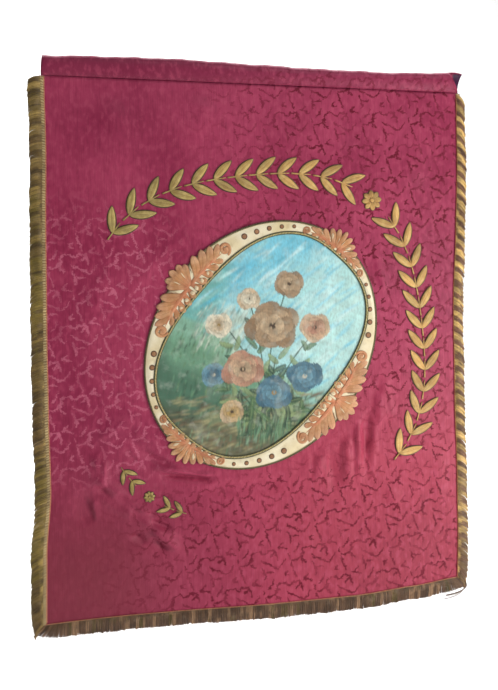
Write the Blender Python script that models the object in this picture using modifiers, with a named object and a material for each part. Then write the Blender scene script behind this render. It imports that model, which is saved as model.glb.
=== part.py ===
"""Hanging processional banner of crimson damask with an oval medallion and a gold fringe.

Metres, +Z up, the front towards -Y. The origin is the middle of the pole sleeve, on the pole's line.
Each piece is first laid out flat: X across, Z down from the seam under the sleeve, and -Y is how far it
stands in front of the cloth's middle. hang_piece then gives it the hang of the cloth and its place.
"""

import math
from collections import namedtuple

import bmesh
import bpy
from mathutils import Vector

# The damask panel, between the inner edges of the fringe's heading
PANEL_HALF = 0.465
PANEL_DROP = 1.147
CLOTH = 0.0015
UNDERLAP = 0.006
HELD_TOP = 0.020
SEW_GAP = 0.0003
SAME_PLACE = 1e-7
NEAR = 0.0004

# The pole sleeve, a turned-over top sewn along the seam
SLEEVE_HEIGHT = 0.046
SLEEVE_DEPTH = 0.024
SLEEVE_TAIL = 0.012
SLEEVE_LEFT = -0.467
SLEEVE_RIGHT = 0.467
SLEEVE_EGG = 0.25
SLEEVE_SLANT_LEFT = 0.004
SLEEVE_SLANT_FRONT = 0.004
SLEEVE_SLANT_BACK = 0.015
SLEEVE_END = 0.001
SLEEVE_SIDES = 14
SLEEVE_SECTIONS = 10
SEAM_Z = -0.5 * SLEEVE_HEIGHT

# The fringe and the braid that heads it
HEADING_WIDTH = 0.009
HEADING_THICK = 0.0024
BRAID_GAP = 0.0004
LOCK_PITCH = 0.017
LOCK_LENGTH = 0.020
LOCK_INSET = 0.0004
LOCK_TIP = 0.72
LOCK_UNEVEN = 0.07
LOCK_UNEVEN_MORE = 0.04
LOCK_SWAY = 0.0012
CORNER_LONGER = 0.25
SIDE_DROOP = math.radians(20)
SIDE_SPREAD = 0.6
CORNER_SPREAD = math.radians(36)
CORNER_REACH = 0.055
FRINGE_TOP = 0.002

# The oval medallion: its long axis leans to the upper right
MEDALLION_X = 0.003
MEDALLION_DROP = 0.5725
FRAME_HALF_LONG = 0.289
FRAME_HALF_SHORT = 0.240
FRAME_TILT = math.radians(51.8)
PICTURE_HALF_LONG = 0.2595
PICTURE_HALF_SHORT = 0.184
PICTURE_POWER = 2.58
PICTURE_TILT = math.radians(48.5)
OVAL_POINTS = 48
LAYER = 0.0012
RIM_CORD = 0.0060
RIM_CLEAR = 0.0010
OVAL_INSIDE = 0.002
EDGE_CORD = 0.0024
EDGE_CORD_OUT = 0.0022

# Embroidered leaves on the frame
LEAF_THICK = 0.0026
CLUSTER_END = 1.5
CLUSTER_INSIDE = 9
CLUSTER_CLEAR = 0.004
DOTS_A_QUARTER = 5
DOT_LARGE = 0.0065
DOT_SMALL = 0.0045
DOT_MIDDLE = 0.00148
DOT_TAPER = 0.8
DOT_START = math.radians(27.5)
DOT_END = math.radians(54.0)
DOT_IN = 0.0105
DOT_IN_MORE = 0.0050

# Tips of a leaf cluster's outer side, from its middle to its end: place along the frame as an angle
# from the middle, how far each tip stands out of the frame, and how far in the notch after it lies
Tip = namedtuple("Tip", "angle out notch")
ACANTHUS = (
    Tip(0.0, 0.025, 0.015), Tip(3.6, 0.021, 0.000), Tip(10.5, 0.010, 0.001), Tip(15.0, 0.007, -0.002),
    Tip(19.0, 0.003, -0.005), Tip(22.8, -0.002, -0.006), Tip(27.0, -0.003, -0.006),
)
PALMETTE = (
    Tip(0.0, 0.026, 0.014), Tip(4.0, 0.022, 0.009), Tip(7.8, 0.014, 0.002), Tip(11.5, 0.006, -0.003),
    Tip(15.8, -0.001, -0.005), Tip(21.0, -0.003, -0.006),
)

# The wreath of leaves round the medallion, and the small one under it
WREATH_RADIUS = 0.390
WREATH_WAVE = 0.017
WREATH_HALF_ANGLE = math.radians(93.5)
WREATH_TOP = 0.200
WREATH_SPRIGS = 12
SPRIG_LEAF = 0.058
SPRIG_WIDTH = 0.0175
SPRIG_ANGLE = math.radians(37)
SPRIG_STEM = 0.0032
SPRIG_TAIL = 0.30
STEM_REACH = 0.46
SHARES_OF_LEAF = (0.16, 0.36, 0.60, 0.84)
LEAF_FULLNESS = 0.8
SMALL_HALF_ANGLE = math.radians(13.5)
SMALL_SPRIGS = 2
SMALL_SCALE = 0.52
SMALL_STEP = 0.070
SMALL_START = 0.55
ROSETTE_RADIUS = 0.024
ROSETTE_PETALS = 8
ROSETTE_NOTCH = 0.14
SPRIG_THICK = 0.0028

# How far each edge draws in or lifts from the straight, by its place along that edge
Edge = namedtuple("Edge", "place shift")
LEFT_EDGE = (
    Edge(0.00, 0.000), Edge(0.17, 0.003), Edge(0.30, 0.002), Edge(0.55, 0.003),
    Edge(0.70, 0.005), Edge(0.87, 0.009), Edge(1.00, 0.001), Edge(1.15, 0.000),
)
RIGHT_EDGE = (
    Edge(0.00, 0.002), Edge(0.15, 0.002), Edge(0.30, 0.005), Edge(0.50, 0.012),
    Edge(0.70, 0.010), Edge(0.90, 0.005), Edge(1.05, 0.002), Edge(1.15, 0.003),
)
BOTTOM_EDGE = (
    Edge(-0.465, 0.005), Edge(-0.20, 0.002), Edge(0.00, 0.000), Edge(0.20, 0.002),
    Edge(0.35, 0.009), Edge(0.465, 0.016),
)
SLEEVE_TOP = (
    Edge(-0.467, -0.004), Edge(-0.33, 0.000), Edge(-0.20, 0.002), Edge(0.00, -0.002), Edge(0.12, -0.005),
    Edge(0.30, -0.006), Edge(0.40, -0.002), Edge(0.470, 0.002),
)

# Soft ridges, and troughs with a negative height: across and down at each end, half width, height
Fold = namedtuple("Fold", "x0 drop0 x1 drop1 width height")
FOLDS = (
    # under the lower right of the medallion
    Fold(0.128, 0.800, 0.120, 0.895, 0.013, 0.0045),
    Fold(0.160, 0.785, 0.164, 0.920, 0.013, -0.0040),
    Fold(0.190, 0.760, 0.198, 0.915, 0.013, 0.0060),
    Fold(0.216, 0.740, 0.222, 0.905, 0.012, 0.0055),
    Fold(0.240, 0.705, 0.246, 0.900, 0.013, -0.0075),
    Fold(0.268, 0.640, 0.280, 0.780, 0.014, 0.0065),
    Fold(0.290, 0.880, 0.312, 0.960, 0.014, 0.0040),
    # under the lower left of the medallion
    Fold(-0.240, 0.830, -0.060, 0.862, 0.013, 0.0055),
    Fold(-0.130, 0.885, 0.070, 0.880, 0.015, -0.0045),
    Fold(-0.330, 0.775, -0.215, 0.812, 0.013, -0.0055),
    Fold(-0.262, 0.705, -0.365, 0.770, 0.016, 0.0045),
    # the puff round the small wreath
    Fold(-0.362, 0.790, -0.352, 0.880, 0.015, 0.0070),
    Fold(-0.352, 0.872, -0.268, 0.932, 0.015, 0.0080),
    Fold(-0.276, 0.926, -0.180, 0.990, 0.015, 0.0070),
    Fold(-0.392, 0.865, -0.380, 0.950, 0.015, -0.0055),
    Fold(-0.300, 0.965, -0.200, 1.022, 0.015, -0.0050),
    # above and beside the medallion
    Fold(0.205, 0.312, 0.250, 0.362, 0.014, -0.0035),
    Fold(0.258, 0.360, 0.286, 0.470, 0.014, 0.0035),
    Fold(-0.305, 0.455, -0.115, 0.292, 0.020, 0.0035),
    Fold(-0.400, 0.560, -0.330, 0.400, 0.026, 0.0040),
    # down from the sleeve
    Fold(-0.330, 0.030, -0.300, 0.210, 0.032, 0.0040),
    Fold(-0.120, 0.026, -0.150, 0.130, 0.026, 0.0030),
    Fold(0.170, 0.026, 0.215, 0.140, 0.026, -0.0030),
    Fold(0.370, 0.030, 0.350, 0.240, 0.032, 0.0040),
)
FOLD_END = 0.30
LEAF_FADE = 16.0
SEWN_EDGE = 0.014
SEWN_FADE = 0.022
SEWN_SPAN = 4.0
WREATH_SEWN = 0.78
WREATH_FADE = 0.020
SMALL_SEWN = 0.80
SMALL_FADE = 0.014

# The free corners and the foot of the cloth stand forward or back in broad waves
CALM_RADIUS = 0.455
WAVE_RADIUS = 0.750
WAVE_DEPTH = 0.009
WAVE_LENGTH = 0.760
WAVE_LEAN = 0.35
WAVE_START = 0.25

# Grid lines of the panel: up to each place, this far apart
Span = namedtuple("Span", "until step")
COLUMNS = (
    Span(-0.400, 0.036), Span(-0.170, 0.0154), Span(0.105, 0.046), Span(0.315, 0.0131), Span(0.471, 0.0322),
)
ROWS = (
    Span(0.018, 0.018), Span(0.140, 0.041), Span(0.480, 0.043), Span(0.700, 0.044), Span(1.020, 0.0200),
    Span(1.153, 0.034),
)


def clear_scene():
    for item in list(bpy.data.objects):
        bpy.data.objects.remove(item)


def make_collection(name):
    collection = bpy.data.collections.new(name)
    bpy.context.scene.collection.children.link(collection)
    return collection


def finish(name, colour, roughness, metallic=0.0):
    """A Principled material."""
    material = bpy.data.materials.new(name)
    material.use_nodes = True
    shader = material.node_tree.nodes["Principled BSDF"]
    shader.inputs["Base Color"].default_value = (*colour, 1.0)
    shader.inputs["Roughness"].default_value = roughness
    shader.inputs["Metallic"].default_value = metallic
    material.diffuse_color = (*colour, 1.0)
    return material


def eased(share):
    share = min(max(share, 0.0), 1.0)
    return share * share * (3.0 - 2.0 * share)


def read_edge(rows, place):
    """The shift at a place along an edge, eased between the rows of its table."""
    if place <= rows[0].place:
        return rows[0].shift
    for low, high in zip(rows, rows[1:]):
        if place <= high.place:
            share = (place - low.place) / (high.place - low.place)
            return low.shift + (high.shift - low.shift) * eased(share)
    return rows[-1].shift


def left_line(drop):
    return -PANEL_HALF + read_edge(LEFT_EDGE, drop)


def right_line(drop):
    return PANEL_HALF - read_edge(RIGHT_EDGE, drop)


def bottom_line(x):
    return PANEL_DROP - read_edge(BOTTOM_EDGE, x)


def turned(u, v, tilt):
    """From an oval's own long and short axes to across and up."""
    return u * math.cos(tilt) - v * math.sin(tilt), u * math.sin(tilt) + v * math.cos(tilt)


def frame_reach(x, drop):
    """How far a point lies outside the medallion's frame and its leaves, negative inside."""
    u, v = turned(x - MEDALLION_X, MEDALLION_DROP - drop, -FRAME_TILT)
    share = math.hypot(u / FRAME_HALF_LONG, v / FRAME_HALF_SHORT)
    angle = math.degrees(math.atan2(v / FRAME_HALF_SHORT, u / FRAME_HALF_LONG))
    leaves = 0.0
    for middle, tips in ((90.0, ACANTHUS), (-90.0, ACANTHUS), (0.0, PALMETTE), (180.0, PALMETTE)):
        off = abs((angle - middle + 180.0) % 360.0 - 180.0)
        leaves = max(leaves, tips[0].out * eased((tips[-1].angle + SEWN_SPAN - off) / LEAF_FADE))
    return (share - 1.0) * math.hypot(u, v) / max(share, 1e-6) - leaves


def wreath_radius(angle):
    """Radius of the wreath's stem at an angle from the frame's long axis."""
    return WREATH_RADIUS + WREATH_WAVE * math.cos(4.0 * angle)


def sewn_share(x, drop):
    """1 where the medallion or a wreath holds the cloth flat, 0 where it is free."""
    u, v = turned(x - MEDALLION_X, MEDALLION_DROP - drop, -FRAME_TILT)
    angle = math.atan2(v, u)
    off_stem = abs(math.hypot(u, v) - wreath_radius(angle))
    past_wreath = max(abs(angle) - WREATH_HALF_ANGLE, 0.0) * WREATH_RADIUS
    off_wreath = math.hypot(off_stem, past_wreath) - SPRIG_LEAF * WREATH_SEWN - SEWN_EDGE
    opposite = math.pi - abs(angle)
    past_small = max(opposite - SMALL_HALF_ANGLE, 0.0) * WREATH_RADIUS
    off_small = math.hypot(off_stem, past_small) - SPRIG_LEAF * SMALL_SCALE * SMALL_SEWN - SEWN_EDGE
    free_medallion = eased((frame_reach(x, drop) - SEWN_EDGE) / SEWN_FADE)
    return 1.0 - free_medallion * eased(off_wreath / WREATH_FADE) * eased(off_small / SMALL_FADE)


def fold_height(fold, x, drop):
    run, fall = fold.x1 - fold.x0, fold.drop1 - fold.drop0
    length = math.hypot(run, fall)
    along = ((x - fold.x0) * run + (drop - fold.drop0) * fall) / length**2
    if not 0.0 < along < 1.0:
        return 0.0
    across = ((x - fold.x0) * fall - (drop - fold.drop0) * run) / length
    fade = eased(along / FOLD_END) * eased((1.0 - along) / FOLD_END)
    return fold.height * fade * math.exp(-((across / fold.width) ** 2))


def hang(x, drop):
    """How far the cloth's middle stands behind the straight hanging plane."""
    radius = math.hypot(x - MEDALLION_X, drop - MEDALLION_DROP)
    free = eased((radius - CALM_RADIUS) / (WAVE_RADIUS - CALM_RADIUS)) * eased((drop - HELD_TOP) / WAVE_START)
    wave = WAVE_DEPTH * free * math.sin(2.0 * math.pi * (x + WAVE_LEAN * drop) / WAVE_LENGTH)
    raised = sum(fold_height(fold, x, drop) for fold in FOLDS) if drop > HELD_TOP else 0.0
    return wave - raised * (1.0 - sewn_share(x, drop))


def hang_piece(mesh):
    """Gives a piece that was laid out flat the hang of the cloth, and its height under the sleeve."""
    for vertex in mesh.vertices:
        vertex.co.y += hang(vertex.co.x, -vertex.co.z)
        vertex.co.z += SEAM_Z
    mesh.update()


def add_object(name, mesh, material, collection):
    piece = bpy.data.objects.new(name, mesh)
    collection.objects.link(piece)
    mesh.materials.clear()
    mesh.materials.append(material)
    return piece


def face_outwards(bm):
    bmesh.ops.recalc_face_normals(bm, faces=bm.faces[:])
    if bm.calc_volume(signed=True) < 0.0:
        bmesh.ops.reverse_faces(bm, faces=bm.faces[:])


def mesh_from(bm, name):
    mesh = bpy.data.meshes.new(name)
    bm.to_mesh(mesh)
    bm.free()
    return mesh


def outline_mesh(name, outlines, thick, front):
    """A flat plate in the XZ plane from closed outlines of (x, z) points, its back at -front."""
    curve = bpy.data.curves.new(name, "CURVE")
    curve.dimensions = "2D"
    curve.fill_mode = "BOTH"
    curve.extrude = 0.5 * thick
    for points in outlines:
        spline = curve.splines.new("POLY")
        spline.points.add(len(points) - 1)
        spline.use_cyclic_u = True
        for point, (x, z) in zip(spline.points, points):
            point.co = (x, z, 0.0, 1.0)
    mesh = curve_to_mesh(name, curve)
    for vertex in mesh.vertices:
        across, up, out = vertex.co
        vertex.co = (across, -front - 0.5 * thick - out, up)
    mesh.update()
    return mesh


def curve_to_mesh(name, curve):
    """The evaluated mesh of a curve, its caps welded to its walls."""
    holder = bpy.data.objects.new(name, curve)
    bpy.context.scene.collection.objects.link(holder)
    bpy.context.view_layer.update()
    evaluated = holder.evaluated_get(bpy.context.evaluated_depsgraph_get())
    mesh = bpy.data.meshes.new_from_object(evaluated)
    bpy.data.objects.remove(holder)
    bpy.data.curves.remove(curve)
    bm = bmesh.new()
    bm.from_mesh(mesh)
    bmesh.ops.remove_doubles(bm, verts=bm.verts[:], dist=1e-6)
    face_outwards(bm)
    bm.to_mesh(mesh)
    bm.free()
    return mesh


def grid_places(start, spans):
    places = [start]
    for span in spans:
        steps = max(1, round((span.until - places[-1]) / span.step))
        first = places[-1]
        places += [first + (span.until - first) * (i + 1) / steps for i in range(steps)]
    return places


def build_panel(material, collection):
    """The damask panel: a sheet with its folds, its edges lying under the fringe's heading."""
    half = PANEL_HALF + UNDERLAP
    foot = PANEL_DROP + UNDERLAP
    columns = grid_places(-half, COLUMNS)
    rows = grid_places(0.0, ROWS)
    bm = bmesh.new()
    bmesh.ops.create_grid(bm, x_segments=len(columns) - 1, y_segments=len(rows) - 1, size=0.5)
    for vertex in bm.verts:
        column = round((vertex.co.x + 0.5) * (len(columns) - 1))
        row = round((0.5 - vertex.co.y) * (len(rows) - 1))
        across, down = columns[column] / half, rows[row] / foot
        bottom = bottom_line(across * PANEL_HALF) + UNDERLAP
        drop = SEW_GAP + (bottom - SEW_GAP) * down
        middle = 0.5 * (left_line(drop) + right_line(drop))
        width = 0.5 * (right_line(drop) - left_line(drop)) + UNDERLAP
        vertex.co = (middle + across * width, 0.0, -drop)
    mesh = mesh_from(bm, "damask_panel")
    hang_piece(mesh)
    panel = add_object("damask_panel", mesh, material, collection)
    shell = panel.modifiers.new("cloth thickness", "SOLIDIFY")
    shell.thickness = CLOTH
    shell.offset = 0.0
    return panel


def sleeve_outline(wall):
    """The sleeve's section drawn in by the wall, (back, up) from the seam: an egg, wider at its top."""
    points = []
    half_high = 0.5 * SLEEVE_HEIGHT - wall
    half_deep = 0.5 * SLEEVE_DEPTH - wall
    for i in range(SLEEVE_SIDES):
        angle = 2.0 * math.pi * (i + 0.5) / SLEEVE_SIDES - 0.5 * math.pi
        back = half_deep * math.cos(angle) * (1.0 + SLEEVE_EGG * math.sin(angle))
        points.append((back, 0.5 * SLEEVE_HEIGHT + half_high * math.sin(angle)))
    return points


def build_sleeve(material, collection):
    """The pole sleeve: an open tube of cloth whose tail is sewn behind the panel's top."""
    outer = sleeve_outline(0.0)
    tail_front = 0.5 * CLOTH + SEW_GAP
    tail_back = tail_front + CLOTH
    tail_top = outer[0][1]
    tail = [
        (tail_front, tail_top), (tail_front, -SLEEVE_TAIL), (tail_back, -SLEEVE_TAIL), (tail_back, tail_top),
    ]
    # the tail leaves the ring's lower back, so it takes the place of the ring's first point
    section = outer[1:] + tail
    curve = bpy.data.curves.new("pole_sleeve", "CURVE")
    curve.dimensions = "2D"
    curve.fill_mode = "BOTH"
    curve.extrude = 0.5 * (SLEEVE_RIGHT - SLEEVE_LEFT)
    for points in (section, sleeve_outline(CLOTH)):
        spline = curve.splines.new("POLY")
        spline.points.add(len(points) - 1)
        spline.use_cyclic_u = True
        for point, (back, up) in zip(spline.points, points):
            point.co = (back, up, 0.0, 1.0)
    mesh = curve_to_mesh("pole_sleeve", curve)
    bm = bmesh.new()
    bm.from_mesh(mesh)
    for i in range(1, SLEEVE_SECTIONS):
        place = SLEEVE_LEFT + (SLEEVE_RIGHT - SLEEVE_LEFT) * i / SLEEVE_SECTIONS
        everything = bm.verts[:] + bm.edges[:] + bm.faces[:]
        bmesh.ops.bisect_plane(
            bm, geom=everything, plane_co=(0.0, 0.0, place), plane_no=(0.0, 0.0, 1.0), dist=SAME_PLACE,
        )
    for vertex in bm.verts:
        back, up, x = vertex.co
        high = max(up, 0.0) / SLEEVE_HEIGHT
        if x > SLEEVE_RIGHT - SLEEVE_END:
            x += high * (SLEEVE_SLANT_BACK if back > 0.0 else SLEEVE_SLANT_FRONT)
        if x < SLEEVE_LEFT + SLEEVE_END:
            x += high * SLEEVE_SLANT_LEFT
        vertex.co = (x, back, up + SEAM_Z + high * read_edge(SLEEVE_TOP, x))
    face_outwards(bm)
    bm.to_mesh(mesh)
    bm.free()
    return add_object("pole_sleeve", mesh, material, collection)


def build_fringe(name, material, collection, inner, outer, spread, droop):
    """One length of fringe: a heading braid whose outer edge carries locks of strands.

    inner and outer give the braid's two edges as (x, z) at a share of its length, spread turns a lock
    from straight out at that share, and droop is how far gravity turns it down.
    """
    ends = [Vector(outer(share)) for share in (0.0, 1.0)]
    locks = round((ends[1] - ends[0]).length / LOCK_PITCH)
    bm = bmesh.new()
    bmesh.ops.create_grid(bm, x_segments=locks, y_segments=1, size=0.5)
    for vertex in bm.verts:
        edge = outer if vertex.co.y > 0.0 else inner
        x, z = edge(vertex.co.x + 0.5)
        vertex.co = (x, -0.5 * CLOTH - BRAID_GAP, z)
    back = bm.faces[:]
    extruded = bmesh.ops.extrude_face_region(bm, geom=back, use_keep_orig=True)["geom"]
    for vertex in (item for item in extruded if isinstance(item, bmesh.types.BMVert)):
        vertex.co.y -= HEADING_THICK
    face_outwards(bm)
    places = [Vector(outer((i + 0.5) / locks)) for i in range(locks)]
    roots = {}
    for face in bm.faces:
        middle = face.calc_center_median()
        if abs(face.normal.y) > 0.5:
            continue
        for i, place in enumerate(places):
            if (Vector((middle.x, middle.z)) - place).length < NEAR:
                roots[i] = face
    bmesh.ops.inset_individual(bm, faces=list(roots.values()), thickness=LOCK_INSET, use_even_offset=True)
    for i, root in roots.items():
        share = (i + 0.5) / locks
        out = root.normal.copy()
        turn = spread(share)
        straight = Vector((*turned(out.x, out.z, turn), 0.0)).xzy
        straight = (straight * math.cos(droop) + Vector((0.0, 0.0, -1.0)) * math.sin(droop)).normalized()
        uneven = LOCK_UNEVEN * math.sin(2.4 * i) + LOCK_UNEVEN_MORE * math.sin(5.1 * i + 1.0)
        length = LOCK_LENGTH * (1.0 + uneven) * (1.0 + CORNER_LONGER * abs(turn) / CORNER_SPREAD)
        sway = LOCK_SWAY * math.sin(1.7 * i)
        tip = bmesh.ops.extrude_discrete_faces(bm, faces=[root])["faces"][0]
        move = straight * length + Vector((0.0, sway, 0.0))
        bmesh.ops.translate(bm, verts=tip.verts[:], vec=move)
        centre = tip.calc_center_median()
        for vertex in tip.verts:
            vertex.co = centre + (vertex.co - centre) * LOCK_TIP
    mesh = mesh_from(bm, name)
    hang_piece(mesh)
    return add_object(name, mesh, material, collection)


def build_fringes(material, collection):
    mitre = HEADING_WIDTH - SEW_GAP
    top = FRINGE_TOP

    def corner_share(share, length, from_start):
        reach = share * length if from_start else (1.0 - share) * length
        return 1.0 - eased(reach / CORNER_REACH)

    def left_inner(share):
        drop = top + (bottom_line(-PANEL_HALF) - 0.5 * SEW_GAP - top) * share
        return left_line(drop), -drop

    def left_outer(share):
        drop = top + (bottom_line(-PANEL_HALF) - 0.5 * SEW_GAP + mitre - top) * share
        return left_line(drop) - HEADING_WIDTH, -drop

    def right_inner(share):
        drop = top + (bottom_line(PANEL_HALF) - 0.5 * SEW_GAP - top) * share
        return right_line(drop), -drop

    def right_outer(share):
        drop = top + (bottom_line(PANEL_HALF) - 0.5 * SEW_GAP + mitre - top) * share
        return right_line(drop) + HEADING_WIDTH, -drop

    left_foot = left_line(bottom_line(-PANEL_HALF))
    right_foot = right_line(bottom_line(PANEL_HALF))

    def bottom_inner(share):
        x = left_foot + SEW_GAP + (right_foot - left_foot - 2.0 * SEW_GAP) * share
        return x, -bottom_line(x)

    def bottom_outer(share):
        start, end = left_foot + SEW_GAP - mitre, right_foot - SEW_GAP + mitre
        x = start + (end - start) * share
        return x, -bottom_line(x) - HEADING_WIDTH

    drop = PANEL_DROP
    width = right_foot - left_foot
    build_fringe(
        "fringe_left", material, collection, left_inner, left_outer,
        lambda share: CORNER_SPREAD * SIDE_SPREAD * corner_share(share, drop, False), SIDE_DROOP,
    )
    build_fringe(
        "fringe_right", material, collection, right_inner, right_outer,
        lambda share: -CORNER_SPREAD * SIDE_SPREAD * corner_share(share, drop, False), SIDE_DROOP,
    )

    def foot_spread(share):
        return CORNER_SPREAD * (corner_share(share, width, False) - corner_share(share, width, True))

    build_fringe(
        "fringe_bottom", material, collection, bottom_inner, bottom_outer, foot_spread, 0.0,
    )


def oval(half_long, half_short, tilt, power=2.0, grow=0.0):
    """Points round a tilted oval about the medallion's middle, as (x, z)."""
    points = []
    for i in range(OVAL_POINTS):
        angle = 2.0 * math.pi * i / OVAL_POINTS
        cosine, sine = math.cos(angle), math.sin(angle)
        scale = (abs(cosine) ** power + abs(sine) ** power) ** (-1.0 / power)
        x, z = turned((half_long + grow) * scale * cosine, (half_short + grow) * scale * sine, tilt)
        points.append((MEDALLION_X + x, z - MEDALLION_DROP))
    return points


def build_cord(name, points, thick, front, material, collection):
    """A closed cord through (x, z) points, its back at -front."""
    curve = bpy.data.curves.new(name, "CURVE")
    curve.dimensions = "3D"
    curve.bevel_depth = 0.5 * thick
    curve.bevel_resolution = 1
    curve.use_fill_caps = True
    spline = curve.splines.new("POLY")
    spline.points.add(len(points) - 1)
    spline.use_cyclic_u = True
    for point, (x, z) in zip(spline.points, points):
        point.co = (x, -front - 0.5 * thick, z, 1.0)
    mesh = curve_to_mesh(name, curve)
    hang_piece(mesh)
    return add_object(name, mesh, material, collection)


def dot_places():
    """Middle and radius of each embroidered dot, five in each bare quarter of the frame."""
    places = []
    for middle, side in ((0.0, 1.0), (0.0, -1.0), (math.pi, 1.0), (math.pi, -1.0)):
        for i in range(DOTS_A_QUARTER):
            share = i / (DOTS_A_QUARTER - 1)
            angle = middle + side * (DOT_START + (DOT_END - DOT_START) * share)
            x, z = frame_point(angle, -DOT_IN - DOT_IN_MORE * share)
            places.append((x, z, DOT_SMALL + (DOT_LARGE - DOT_SMALL) * share))
    return places


def build_medallion(finishes, collection, cutters):
    under = 0.5 * CLOTH + SEW_GAP
    panel = outline_mesh(
        "painted_oval", [oval(FRAME_HALF_LONG, FRAME_HALF_SHORT, FRAME_TILT, grow=-OVAL_INSIDE)], LAYER, under
    )
    hang_piece(panel)
    add_object("painted_oval", panel, finishes["painted"], collection)
    on_panel = under + LAYER + SEW_GAP
    picture_edge = oval(
        PICTURE_HALF_LONG, PICTURE_HALF_SHORT, PICTURE_TILT, PICTURE_POWER, grow=0.5 * RIM_CORD + RIM_CLEAR,
    )
    band = outline_mesh(
        "frame_band", [oval(FRAME_HALF_LONG, FRAME_HALF_SHORT, FRAME_TILT), picture_edge], LAYER, on_panel
    )
    hang_piece(band)
    band = add_object("frame_band", band, finishes["cream"], collection)
    add_dots(band, on_panel, cutters)
    build_cord(
        "rim_cord", oval(PICTURE_HALF_LONG, PICTURE_HALF_SHORT, PICTURE_TILT, PICTURE_POWER, grow=-SEW_GAP),
        RIM_CORD, on_panel, finishes["braid"], collection,
    )
    build_cord(
        "edge_cord", oval(FRAME_HALF_LONG, FRAME_HALF_SHORT, FRAME_TILT, grow=EDGE_CORD_OUT),
        EDGE_CORD, under, finishes["dark"], collection,
    )
    on_band = on_panel + LAYER + SEW_GAP
    for name, middle in (("acanthus_upper_left", 90.0), ("acanthus_lower_right", 270.0)):
        shape = cluster_outline(math.radians(middle), ACANTHUS)
        mesh = outline_mesh(name, [shape], LEAF_THICK, on_band)
        hang_piece(mesh)
        add_object(name, mesh, finishes["leaf"], collection)
    for name, middle in (("palmette_upper_right", 0.0), ("palmette_lower_left", 180.0)):
        shape = cluster_outline(math.radians(middle), PALMETTE)
        mesh = outline_mesh(name, [shape], LEAF_THICK, on_band)
        hang_piece(mesh)
        add_object(name, mesh, finishes["leaf"], collection)


def add_dots(band, front, cutters):
    """Raises the embroidered dots on the frame band."""
    for x, z, radius in dot_places():
        bm = bmesh.new()
        bmesh.ops.create_cone(
            bm, cap_ends=True, segments=8, radius1=radius, radius2=radius * DOT_TAPER, depth=LAYER,
        )
        for vertex in bm.verts:
            across, up, out = vertex.co
            vertex.co = (x + across, -front - DOT_MIDDLE - out, SEAM_Z + z + up)
        face_outwards(bm)
        dot = bpy.data.objects.new("dot", mesh_from(bm, "dot"))
        cutters.objects.link(dot)
        dot.hide_render = True
        dot.display_type = "WIRE"
    join = band.modifiers.new("dots", "BOOLEAN")
    join.operation = "UNION"
    join.operand_type = "COLLECTION"
    join.collection = cutters
    join.solver = "EXACT"


def frame_point(angle, out):
    """A point at an angle round the frame, this far out of its edge, as (x, z)."""
    u, v = (FRAME_HALF_LONG + out) * math.cos(angle), (FRAME_HALF_SHORT + out) * math.sin(angle)
    x, z = turned(u, v, FRAME_TILT)
    return MEDALLION_X + x, z - MEDALLION_DROP


def picture_point(angle, out):
    """The point of the rim cord's line that faces an angle round the frame, as (x, z)."""
    target = angle + FRAME_TILT - PICTURE_TILT
    cosine, sine = math.cos(target), math.sin(target)
    scale = (abs(cosine) ** PICTURE_POWER + abs(sine) ** PICTURE_POWER) ** (-1.0 / PICTURE_POWER)
    u, v = (PICTURE_HALF_LONG + out) * scale * cosine, (PICTURE_HALF_SHORT + out) * scale * sine
    x, z = turned(u, v, PICTURE_TILT)
    return MEDALLION_X + x, z - MEDALLION_DROP


def cluster_outline(middle, tips):
    """A leaf cluster's outline: pointed tips along its outer side and the rim cord's curve inside."""
    one_side = []
    for tip, following in zip(tips, tips[1:]):
        between = 0.5 * (tip.angle + following.angle)
        one_side += [(tip.angle, tip.out), (between, tip.notch)]
    one_side.append((tips[-1].angle, tips[-1].out))
    outside = [(-angle, out) for angle, out in reversed(one_side[1:])] + one_side
    points = [frame_point(middle + math.radians(angle), out) for angle, out in outside]
    end = tips[-1].angle + CLUSTER_END
    inside = [end - 2.0 * end * i / CLUSTER_INSIDE for i in range(CLUSTER_INSIDE + 1)]
    clear = 0.5 * RIM_CORD + CLUSTER_CLEAR
    return points + [picture_point(middle + math.radians(angle), clear) for angle in inside]


def leaf_side(length, width, side, shares):
    """Points along one edge of a pointed leaf that starts at the origin along +X."""
    half = side * 0.5 * width
    return [(length * share, half * math.sin(math.pi * share**LEAF_FULLNESS)) for share in shares]


def sprig_outline(scale):
    """A pair of leaves on a short stem: the stem runs along +X and a leaf leans to each side."""
    length, width, stem = SPRIG_LEAF * scale, SPRIG_WIDTH * scale, 0.5 * SPRIG_STEM * scale
    shares = SHARES_OF_LEAF

    def lean(points, side):
        cosine, sine = math.cos(SPRIG_ANGLE), side * math.sin(SPRIG_ANGLE)
        return [(x * cosine - y * sine, x * sine + y * cosine) for x, y in points]

    tip = [(length, 0.0)]
    outer, inner = shares, shares[1:]
    upper = leaf_side(length, width, 1.0, outer) + tip + leaf_side(length, width, -1.0, inner[::-1])
    lower = leaf_side(length, width, 1.0, inner) + tip + leaf_side(length, width, -1.0, outer[::-1])
    tail, end = -SPRIG_TAIL * length, STEM_REACH * length
    head = [(end, stem), (end, -stem)]
    return [(tail, stem)] + lean(upper, 1.0) + head + lean(lower, -1.0) + [(tail, -stem)]


def place_on_wreath(points, angle, heading):
    """Turns points so that +X runs along the wreath, towards its top where heading is 1."""
    radius = wreath_radius(angle)
    ahead = 0.001
    near = [
        Vector(turned(wreath_radius(a) * math.cos(a), wreath_radius(a) * math.sin(a), FRAME_TILT))
        for a in (angle, angle - heading * ahead)
    ]
    forward = (near[1] - near[0]).normalized()
    side = Vector((-forward.y, forward.x))
    centre = Vector(turned(radius * math.cos(angle), radius * math.sin(angle), FRAME_TILT))
    placed = [centre + forward * x + side * y for x, y in points]
    return [(MEDALLION_X + p.x, p.y - MEDALLION_DROP) for p in placed]


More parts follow.
